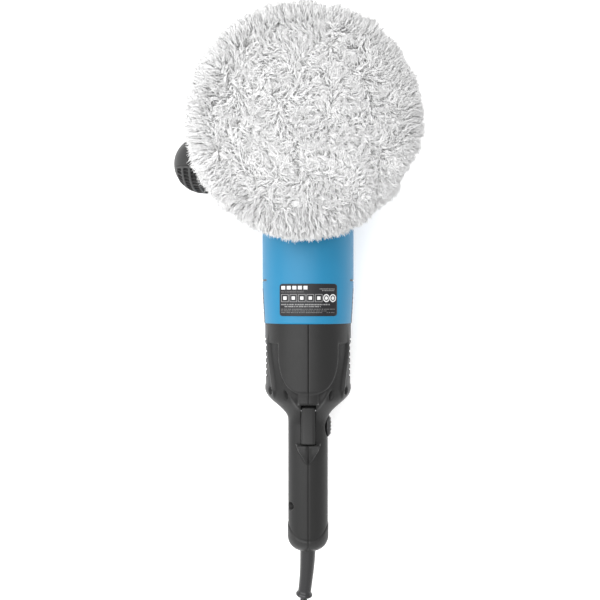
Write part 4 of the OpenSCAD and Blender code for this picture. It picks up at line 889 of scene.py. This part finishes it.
    # the block ahead of the trigger
    block = plan_band(x, 9.6) * smooth(250.0, 250.8, dd) * (1 - smooth(261.0, 261.7, dd)) * top
    groove = plan_band(x, 10.4) * smooth(249.2, 249.9, dd) * (1 - smooth(261.9, 262.2, dd)) * top
    z = z - 0.8 * (groove - block).clip(0, 1)
    z = z + block * (np.maximum(z, 42.7 - 0.02 * x**2 - 0.3 * np.exp(-((x / 0.5) ** 2))) - z)
    # the finger stop behind the trigger
    half = np.interp(dd, [301.9, 304, 308, 323], [11.9, 10.9, 9.8, 0.6])
    stop_top = np.interp(dd, [301.9, 305, 314, 323], [33.6, 33.2, 27.4, 21.6])
    stop = (1 - smooth(-0.6, 0.5, np.abs(x) - half)) * smooth(301.6, 301.9, dd) * (dd < 323) * top
    crest = stop_top - 0.16 * np.abs(x) + 0.3 * np.exp(-(((np.abs(x) - half + 1.2) / 1.1) ** 2))
    z = z + stop * (np.maximum(z, crest - 1.6 * np.exp(-((x / (1.4 - 0.05 * (dd - 302))) ** 2))) - z)
    # the trigger's well
    opening = (np.abs(x) < 7.08) * (dd > 262.3) * (dd < 301.8) * (z > 0)
    z = np.where(opening, 9.0, z)
    ends = np.concatenate([[184.0], d[1:-1], [GRIP_REAR]])
    rings = np.stack([side * x, -np.broadcast_to(ends[:, None], a.shape), AXIS_H / MM + z], axis=-1) * MM
    # painted shade in pits, slots, screw wells, the trigger's opening and the side panels, and a dark joint line
    # along the seam
    recess_shade_and_seam = np.clip(deep + opening + 0.85 * well + 0.9 * corner + 0.8 * pocket + 0.3 * panel
                     + 0.75 * np.exp(-((seam / 0.3) ** 2)) * (dd < 404), 0, 1)
    # painted highlights along the panel ribs, the apron's edge, the block's rim and the front of the finger stop
    painted_highlight = np.clip(rib + 0.8 * np.exp(-(((u_shape - 1.0) / 0.05) ** 2)) * top * (dd > 204) * (dd < 252)
                  + 0.6 * (block - plan_band(x, 8.6)).clip(0, 1)
                  + 0.8 * stop * smooth(2, 4, np.abs(x)) * np.exp(-(((dd - 306) / 5) ** 2)), 0, 1)
    return rings, recess_shade_and_seam, painted_highlight, collar


def make_handle_shells(finishes):
    """Both halves, each a sheet that Solidify gives its wall."""
    for side, name, node in ((-1, "handle_left", "handle_shell_left"),
                             (1, "handle_right", "handle_shell_right")):
        rings, recess_shade_and_seam, painted_highlight, collar = handle_shell(side)
        rows, columns = rings.shape[:2]
        faces = quads(rows, columns, False, False)
        if side > 0:
            faces = faces[:, ::-1]
        piece = make(name, (rings.reshape(-1, 3), [faces]), finishes["grey_housing"],
                     stands_for=(node,),
                     marks={"recess_shade_and_seam": recess_shade_and_seam, "painted_highlight": painted_highlight, "collar": collar})
        wall = piece.modifiers.new("wall", "SOLIDIFY")
        wall.thickness, wall.offset, wall.use_even_offset = 1.6 * MM, -1.0, False
    end = np.linspace(0.0, 1.0, 6)
    a = TURN * np.arange(96) / 96
    x, z = handle_section(np.array([[GRIP_REAR]]), a[None, :])
    scale = 1 - end[:-1, None]
    rings = np.stack([x * scale, -(GRIP_REAR + 1.2 * np.sqrt(1 - scale**2)) * np.ones_like(x),
                      AXIS_H / MM + z * scale], axis=-1) * MM
    back = rings[0] + np.array([0, 1.5 * MM, 0])
    make("handle_end", outwards(skin(rings, back.mean(0), [0, -(GRIP_REAR + 1.2) * MM, AXIS_H])),
         finishes["handle_plastic"])


def make_trigger(finishes):
    """A bar with a rounded top, z = top - 1.5 (x / 6.6)^4, whose front edge curls over and whose rear
    drops a little, closed underneath."""
    d = steps([263.4, 264.4, 266.5, 299.0, 300.2, 300.8], 0.8)
    a = np.linspace(0, np.pi, 29)
    x = 6.6 * np.sign(np.cos(a)) * np.abs(np.cos(a)) ** 0.35
    rise = 1.0 - np.abs(x / 6.6) ** 4
    top = (31.9 + 1.3 * ((d - 281) / 19) ** 2 - 3.6 * (1 - smooth(262.6, 265.6, d))
           - 1.6 * smooth(299.6, 301, d))
    z = top[:, None] - 1.5 * (1 - rise[None, :])
    upper = np.stack([np.broadcast_to(x, z.shape), np.broadcast_to(-d[:, None], z.shape),
                      AXIS_H / MM + z], -1)
    lower = upper[:, ::-1].copy()
    lower[..., 0] *= 1.07
    lower[..., 2] = AXIS_H / MM + 19.5
    rings = np.concatenate([upper, lower], axis=1) * MM
    make("trigger_blade", outwards(capped(rings)), finishes["grey_housing"], "trigger",
         stands_for=("trigger",),
         marks={"recess_shade_and_seam": np.zeros(rings[..., 0].size + 2), "painted_highlight": np.zeros(rings[..., 0].size + 2),
                "collar": np.full(rings[..., 0].size + 2, 0.4)})


def make_lock_on_button(finishes):
    """A rounded button with the outline |u|^3 + |v|^3 = 1, domed, with finger ridges."""
    r = steps([1.0, 0.92, 0.7, 0.02], 0.08)
    a = TURN * np.arange(56) / 56
    c, s = np.cos(a), np.sin(a)
    outline = 1 / (np.abs(c) ** 3 + np.abs(s) ** 3) ** (1 / 3)
    u, v = 10.9 * c * outline, 9.0 * s * outline
    rise = 22.7 - 2.6 * r**6
    grid_u, grid_v = r[:, None] * u[None, :], r[:, None] * v[None, :]
    x = rise[:, None] + 0.45 * np.cos(TURN * grid_u / 3.6) * (1 - r[:, None] ** 4)
    top = np.stack([x, -286 - grid_u, 48 + grid_v], axis=-1)
    stem = np.stack([np.full(56, 15.0), -286 - u, 48 + 0.6 * v], axis=-1)[None]
    neck = stem + [2.9, 0, 0]
    skirt = np.stack([np.full(56, 18.2), -286 - u, 48 + v], axis=-1)[None]
    rings = np.concatenate([stem, neck, skirt, skirt + [1.6, 0, 0], top]) * MM
    make("lock_on_cap", outwards(skin(rings, rings[0].mean(0), [22.9 * MM, -286 * MM, 48 * MM])),
         finishes["black_plastic"], "lock_on_button", stands_for=("lock_on_button",))


# ---------------------------------------------------------------- side handle

def side_points(radius, along, angle):
    """Points in the side handle's own frame: along its axis, and at an angle from straight up
    towards the front."""
    drop, lead = np.radians(16.0), np.radians(6.0)
    axis = np.array([-np.cos(drop) * np.cos(lead), np.cos(drop) * np.sin(lead), -np.sin(drop)])
    front = np.array([np.sin(lead), np.cos(lead), 0.0])
    up = np.cross(front, axis)
    up = up if up[2] > 0 else -up
    root = np.array([-52.5, -30.0, 54.0])
    return (root + along[..., None] * axis + (radius * np.cos(angle))[..., None] * up
            + (radius * np.sin(angle))[..., None] * front) * MM


def side_radius(t):
    """17 easing to 28.5 at t = 55, then an ellipse to the end at t = 85."""
    return np.where(t < 55, ease(17.0, 28.5, (t - 6) / 47),
                    28.5 * np.sqrt(np.clip(1 - ((t - 55) / 30) ** 2, 0, 1)))


def make_side_handle():
    """One turned body from its flange to its rounded end.  The grip's rear half has rings of short
    slots: depth = 2.2 where both the ring wave and the slot wave are high, behind the step line."""
    t = steps([0.0, 5.0, 12.0, 77.0, 84.2, 84.9], 0.55)
    a = TURN * np.arange(220) / 220
    tt, aa = np.meshgrid(t, a, indexing="ij")
    r = np.where(tt < 5, 20.0 - 0.8 * smooth(4, 5, tt) - 0.8 * (1 - smooth(0, 0.8, tt)), side_radius(tt))
    front = r * np.sin(aa)
    sleeve = smooth(12.0, 12.8, tt) * (1 - smooth(76.2, 77.0, tt))
    grip = (1 - smooth(-7.0, -6.2, front)) * sleeve
    seam = np.exp(-(((front + 6.4) / 0.5) ** 2)) * sleeve
    ring_place = (tt - 16.5) / 8.4
    in_ring = np.abs((ring_place % 1.0) - 0.5) * 8.4
    spacing = np.round(TURN * side_radius((np.floor(ring_place) + 0.5) * 8.4 + 16.5) / 3.9)
    slot_place = aa / TURN * spacing
    in_slot = np.abs((slot_place % 1.0) - 0.5) * 3.9
    slot = (1 - smooth(2.4, 3.0, in_ring)) * (1 - smooth(1.1, 1.6, in_slot))
    slot = slot * grip * (1 - smooth(-9.5, -8.5, front)) * (tt > 16.5) * (tt < 75)
    bulge = 0.12 * np.cos(TURN * (ring_place - 0.5)) * grip
    r = r - 2.2 * slot - 0.6 * seam - bulge + 0.3 * grip
    rings = side_points(r, tt, aa)
    shape = outwards(skin(rings, side_points(np.array([0.0]), np.array([0.0]), np.array([0.0]))[0],
                          side_points(np.array([0.0]), np.array([85.0]), np.array([0.0]))[0]))
    pad = np.zeros(2)
    # the slot mark carries painted shade for the slots and a dark joint line for the step seam
    make("side_handle", shape, side_handle_finish(),
         stands_for=("side_handle_core", "side_handle_grip", "side_handle_inlay"),
         marks={"slot": np.concatenate([np.maximum(slot, 0.6 * seam).ravel(), pad]),
                "grip": np.concatenate([grip.ravel(), pad])})


def side_handle_finish():
    """Dark smooth inlay and end, paler rubber ribs, painted shade nearly black in the slots between them, and a
    dark joint line at the step seam.
    """
    f = Finish("side_handle", specular_ior_level=0.35)
    fine = f.noise(0.45 * MM, 2.0)
    ribs = f.mix(grey(0.017), grey(0.046), f.mark("grip") * (0.8 + 0.4 * f.noise(5 * MM)))
    # painted shade: the slots are painted nearly black; the step seam gets a dark joint line
    f.set(base_color=f.mix(ribs, grey(0.004), f.mark("slot").over(0.08, 0.45)),
          roughness=0.4 + 0.15 * f.mark("grip") + 0.1 * fine)
    return f.bump(fine, 0.04 * MM)


# ---------------------------------------------------------------- pad and bonnet



def arc(cx, cz, r, start, end, n):
    """n points (cx + r cos a, cz + r sin a), with a in degrees from start to end."""
    a = np.radians(np.linspace(start, end, n))
    return np.stack([cx + r * np.cos(a), cz + r * np.sin(a)], axis=-1)


def hide_profile():
    """The outside of the hide as (radius, height), from the middle of the top round the rim to the
    hem under the pad."""
    return np.concatenate([
        np.stack([np.linspace(0.5, 82, 40), np.full(40, 142.5)], -1), arc(82, 125.0, 17.5, 88, 2, 14),
        np.stack([np.full(6, 99.5), np.linspace(122, 115, 6)], -1), arc(93, 113.5, 6.5, -4, -86, 8),
        np.stack([np.linspace(88, 76, 9), np.full(9, 107.0)], -1)])


def make_bonnet_base():
    """The hide: its outer profile there and an inner one back, turned about the spindle, with
    slow ripples of +-0.8."""
    outer = hide_profile()
    inner = np.concatenate([
        [[76, 108.6]], np.stack([np.linspace(80, 90, 6), np.full(6, 109.2)], -1),
        np.stack([np.full(8, 90.6), np.linspace(111, 130, 8)], -1),
        np.stack([np.linspace(88, 0.5, 24), np.full(24, 131.6)], -1)])
    profile = np.concatenate([outer, inner])
    rings = turned(profile[:, 0] * MM, profile[:, 1] * MM, 180, (0, 0, 0), (0, 0, 1), (1, 0, 0))
    wave = ripple(rings.reshape(-1, 3), 38 * MM, 5).reshape(rings.shape[:2])
    wave[len(outer):] = 0
    rings[..., 2] += 0.8 * MM * wave * (np.arange(len(profile)) < 50)[:, None]
    rings[:len(outer)] += BONNET_SHIFT * MM
    piece = make("bonnet_hide", outwards(capped(rings)), hide(), "spindle_set", stands_for=("wool_bonnet",))


def place_on_hide(where, angle):
    """The point, the outward normal and the way down the surface at a share of the profile's area
    and an angle."""
    p = hide_profile()
    step = np.diff(p, axis=0)
    length = np.linalg.norm(step, axis=1)
    area = np.concatenate([[0], np.cumsum(length * (p[1:, 0] + p[:-1, 0]) / 2)])
    r = np.interp(where * area[-1], area, p[:, 0])
    z = np.interp(where * area[-1], area, p[:, 1])
    slope = np.gradient(p, axis=0)
    slope /= np.linalg.norm(slope, axis=1, keepdims=True)
    tr = np.interp(where * area[-1], area, slope[:, 0])
    tz = np.interp(where * area[-1], area, slope[:, 1])
    c, s = np.cos(angle), np.sin(angle)
    point = np.stack([r * c, r * s, z], -1) + BONNET_SHIFT
    down = np.stack([tr * c, tr * s, tz], -1)
    down /= np.linalg.norm(down, axis=1, keepdims=True)
    around = np.stack([-s, c, 0 * s], -1)
    normal = np.cross(down, around)
    outside = np.stack([c * 0.2, s * 0.2, np.where(z > 108, 1.0, -1.0)], -1)
    normal *= np.sign((normal * outside).sum(1))[:, None]
    return point, normal, down


def make_wool(finishes):
    """Locks of wool in clumps.

    A clump leans with a slow swirl over the hide.  Each lock starts beside its clump's middle, bends
    from near the normal to nearly flat, wavers to both sides, and draws in to the clump's tip:
    P + L sum(cos b N + sin b F) + waver B, with b from 12 degrees to the clump's lean, as a three-sided taper."""
    chance = np.random.default_rng(41)
    clumps, per_clump, rings = 5200, 9, 5
    order = (np.arange(clumps) + chance.uniform(0, 1, clumps)) / clumps
    angle = TURN * ((np.arange(clumps) * 0.6180339887) % 1.0) + chance.normal(0, 0.02, clumps)
    middle, normal, down = place_on_hide(order, angle)
    swirl = 2.6 * ripple(middle, 85.0, 7) + 1.5 * ripple(middle, 30.0, 8) + chance.normal(0, 0.25, clumps)
    rim = smooth(72, 92, np.hypot(middle[:, 0] + 3, middle[:, 1]))
    flat_way = np.stack([np.cos(swirl * 2 - 0.9), np.sin(swirl * 2 - 0.9), 0 * swirl], -1)
    flow = (flat_way * (1 - 0.75 * rim[:, None])
            + down * (0.25 + 0.5 * rim[:, None]) * np.sign(middle[:, 2:3] - 106.5))
    flow -= (flow * normal).sum(1, keepdims=True) * normal
    flow /= np.linalg.norm(flow, axis=1, keepdims=True)
    under = 1 - smooth(104, 112, middle[:, 2])
    length = chance.uniform(8.5, 11.5, clumps) * (1 - 0.4 * under) + rim * (
        0.2 - 1.6 * np.cos(angle) + 0.9 * np.sin(angle) + 1.6 * ripple(middle, 26.0, 12))
    for at, width, depth in ((-28, 9, 5.5), (-50, 7, 4.0), (79, 3, 7.0), (-5, 3, -1.5), (-38, 3, -2.0)):
        away = (np.degrees(angle) - at + 180) % 360 - 180
        length = length - depth * rim * np.exp(-((away / width) ** 2))
    length = np.clip(length, 3.5, None)
    lean = chance.uniform(64, 88, clumps) * (1 - 0.40 * rim)
    tone = 0.5 + 0.5 * ripple(middle, 40.0, 9) + chance.normal(0, 0.25, clumps)

    def each(values):
        """A clump's values, repeated for each of its locks."""
        return np.repeat(values, per_clump, axis=0)

    n = clumps * per_clump
    spread = np.abs(chance.normal(0, 2.4, n))
    turn = chance.uniform(0, TURN, n)
    side_a, side_b = each(flow), np.cross(each(normal), each(flow))
    offset = spread[:, None] * (np.cos(turn)[:, None] * side_a + np.sin(turn)[:, None] * side_b)
    t = np.linspace(0, 1, rings)
    bend = np.radians(12 + (each(lean) - 12)[:, None] * t[None, :] + chance.normal(0, 7, (n, 1)))
    grow = each(length) * chance.uniform(0.82, 1.1, n) / (rings - 1)
    along_n = np.cumsum(np.cos(bend), 1) - np.cos(bend[:, :1])
    along_f = np.cumsum(np.sin(bend), 1) - np.sin(bend[:, :1])
    waver = (1.1 * np.sin(TURN * (t[None, :] * chance.uniform(0.7, 1.5, (n, 1))
                                  + chance.uniform(0, 1, (n, 1)))) * t[None, :])
    gather = each(chance.uniform(0.35, 0.85, clumps))[:, None] * t[None, :] ** 1.3
    centre = (each(middle)[:, None] + offset[:, None] * (1 - gather[..., None])
              + grow[:, None, None] * (along_n[..., None] * each(normal)[:, None]
                                       + along_f[..., None] * side_a[:, None])
              + waver[..., None] * side_b[:, None] - 1.0 * each(normal)[:, None] * (1 - t)[None, :, None])
    thick = chance.uniform(0.5, 0.9, n)[:, None] * (1 - 0.84 * t[None, :] ** 1.6)
    spin = chance.uniform(0, TURN, n)[:, None] + 1.4 * t[None, :]
    tangent = np.gradient(centre, axis=1)
    tangent /= np.linalg.norm(tangent, axis=2, keepdims=True)
    first = np.cross(tangent, side_b[:, None])
    first /= np.linalg.norm(first, axis=2, keepdims=True)
    second = np.cross(tangent, first)
    corner = TURN * np.arange(3) / 3
    around_lock = spin[..., None] + corner
    tube = centre[:, :, None] + thick[:, :, None, None] * (
        np.cos(around_lock)[..., None] * first[:, :, None]
        + np.sin(around_lock)[..., None] * second[:, :, None])
    tips = centre[:, -1] + 1.2 * tangent[:, -1]
    roots = centre[:, 0]
    one, closing = quads(rings, 3), np.array([0, 1, 2])
    beside = np.array([1, 2, 0])
    tip_fan = np.stack([np.full(3, rings * 3 + 1), 3 * (rings - 1) + closing, 3 * (rings - 1) + beside], -1)
    root_fan = np.stack([np.full(3, rings * 3), beside, closing], -1)
    points = np.concatenate([tube.reshape(n, -1, 3), roots[:, None], tips[:, None]], axis=1) * MM
    size = points.shape[1]
    reach = np.concatenate([np.repeat(t, 3), [0.0, 1.0]])
    pieces = 8
    for k in range(pieces):
        chosen = np.arange(k, n, pieces)
        first_point = (size * np.arange(len(chosen)))[:, None, None]
        faces = [(one[None] + first_point).reshape(-1, 4),
                 (np.concatenate([tip_fan, root_fan])[None] + first_point).reshape(-1, 3)]
        shape = outwards((points[chosen].reshape(-1, 3), faces))
        make(f"wool_locks_{k + 1}", shape, finishes["white_wool"], "spindle_set",
             marks={"reach": np.tile(reach, len(chosen)),
                    "tone": np.repeat(np.clip(each(tone)[chosen], 0, 1), size)})


def make_foam_pad(finishes):
    """A foam disc with rounded rims and a slightly hollow face."""
    bore = np.array([[9.5, 112.6], [9.5, 116.0], [9.5, 119.5], [3, 119.5]])
    outer = np.concatenate([
        np.stack([np.linspace(2, 84, 20), 130.2 - 0.6 * np.cos(np.linspace(0, np.pi, 20))], -1),
        arc(84.5, 126.0, 4.3, 85, 5, 6), arc(84.5, 117.0, 4.3, -5, -85, 6),
        np.stack([np.linspace(82, 12, 12), np.full(12, 112.6)], -1)])
    profile = np.concatenate([outer, bore])
    rings = turned(profile[:, 0] * MM, profile[:, 1] * MM, 120, (0, 0, 0), (0, 0, 1), (1, 0, 0))
    piece = make("foam_disc", outwards(capped(rings)), finishes["pad_foam"], "spindle_set",
                 stands_for=("foam_pad",))


def make_drawcord(finishes):
    """A two-strand cord round the hem: tube radius 1.9 (0.8 + 0.2 |cos(b + 30 a)|), for b round
    the tube and a round the loop."""
    a = TURN * np.arange(480) / 480
    b = TURN * np.arange(14) / 14
    aa, bb = np.meshgrid(a, b, indexing="ij")
    strand = np.abs(np.cos(bb + 30 * aa))
    r = 1.9 * (0.8 + 0.2 * strand)
    ring = 72.7 + r * np.cos(bb)
    rings = np.stack([ring * np.cos(aa), ring * np.sin(aa), 104.5 + r * np.sin(bb)], -1) * MM
    make("hem_cord", outwards(skin(rings, loop=True)), finishes["drawcord"], "spindle_set",
         stands_for=("bonnet_drawcord",), marks={"strand": strand.ravel()})


# ---------------------------------------------------------------- the whole machine

def finish_cad_nodes(finishes):
    """Gives every CAD node the finish of its slot in the record."""
    for part in frame["record"]["subparts"]:
        node = frame["nodes"][part["node"]]
        node.data.materials.clear()
        node.data.materials.append(finishes[part["material_slot"]].material)


def add_floor():
    """A pale sweep under the machine: flat near it, rising by 0.02 (r - 1.2)^3 beyond 1.2."""
    u = np.linspace(-1, 1, 41)
    x, y = np.meshgrid(u * 3.0, u * 3.0 - 0.2, indexing="ij")
    z = 0.02 * np.clip(np.hypot(x, y + 0.2) - 1.2, 0, None) ** 3 - 0.4 * MM
    points = np.stack([x, y, z], -1).reshape(-1, 3)
    f = Finish("floor", roughness=0.9, emission_color=(1.0, 1.0, 1.0, 1.0), emission_strength=0.2)
    f.set(base_color=f.mix(grey(0.86), grey(0.9), f.noise(0.3)))
    mesh = bpy.data.meshes.new("floor")
    mesh.from_pydata(points.tolist(), [], quads(41, 41, False, False)[:, ::-1].tolist())
    mesh.materials.append(f.material)
    floor = bpy.data.objects.new("floor", mesh)
    bpy.context.scene.collection.objects.link(floor)


set_camera()
finishes = make_finishes()
make_lead(finishes)
set_light()
add_floor()
finish_cad_nodes(finishes)
make_motor_housing(finishes)
make_brush_covers(finishes)
make_label(finishes)
make_handle_shells(finishes)
make_trigger(finishes)
make_lock_on_button(finishes)
make_side_handle()
make_bonnet_base()
make_wool(finishes)
make_foam_pad(finishes)
make_drawcord(finishes)
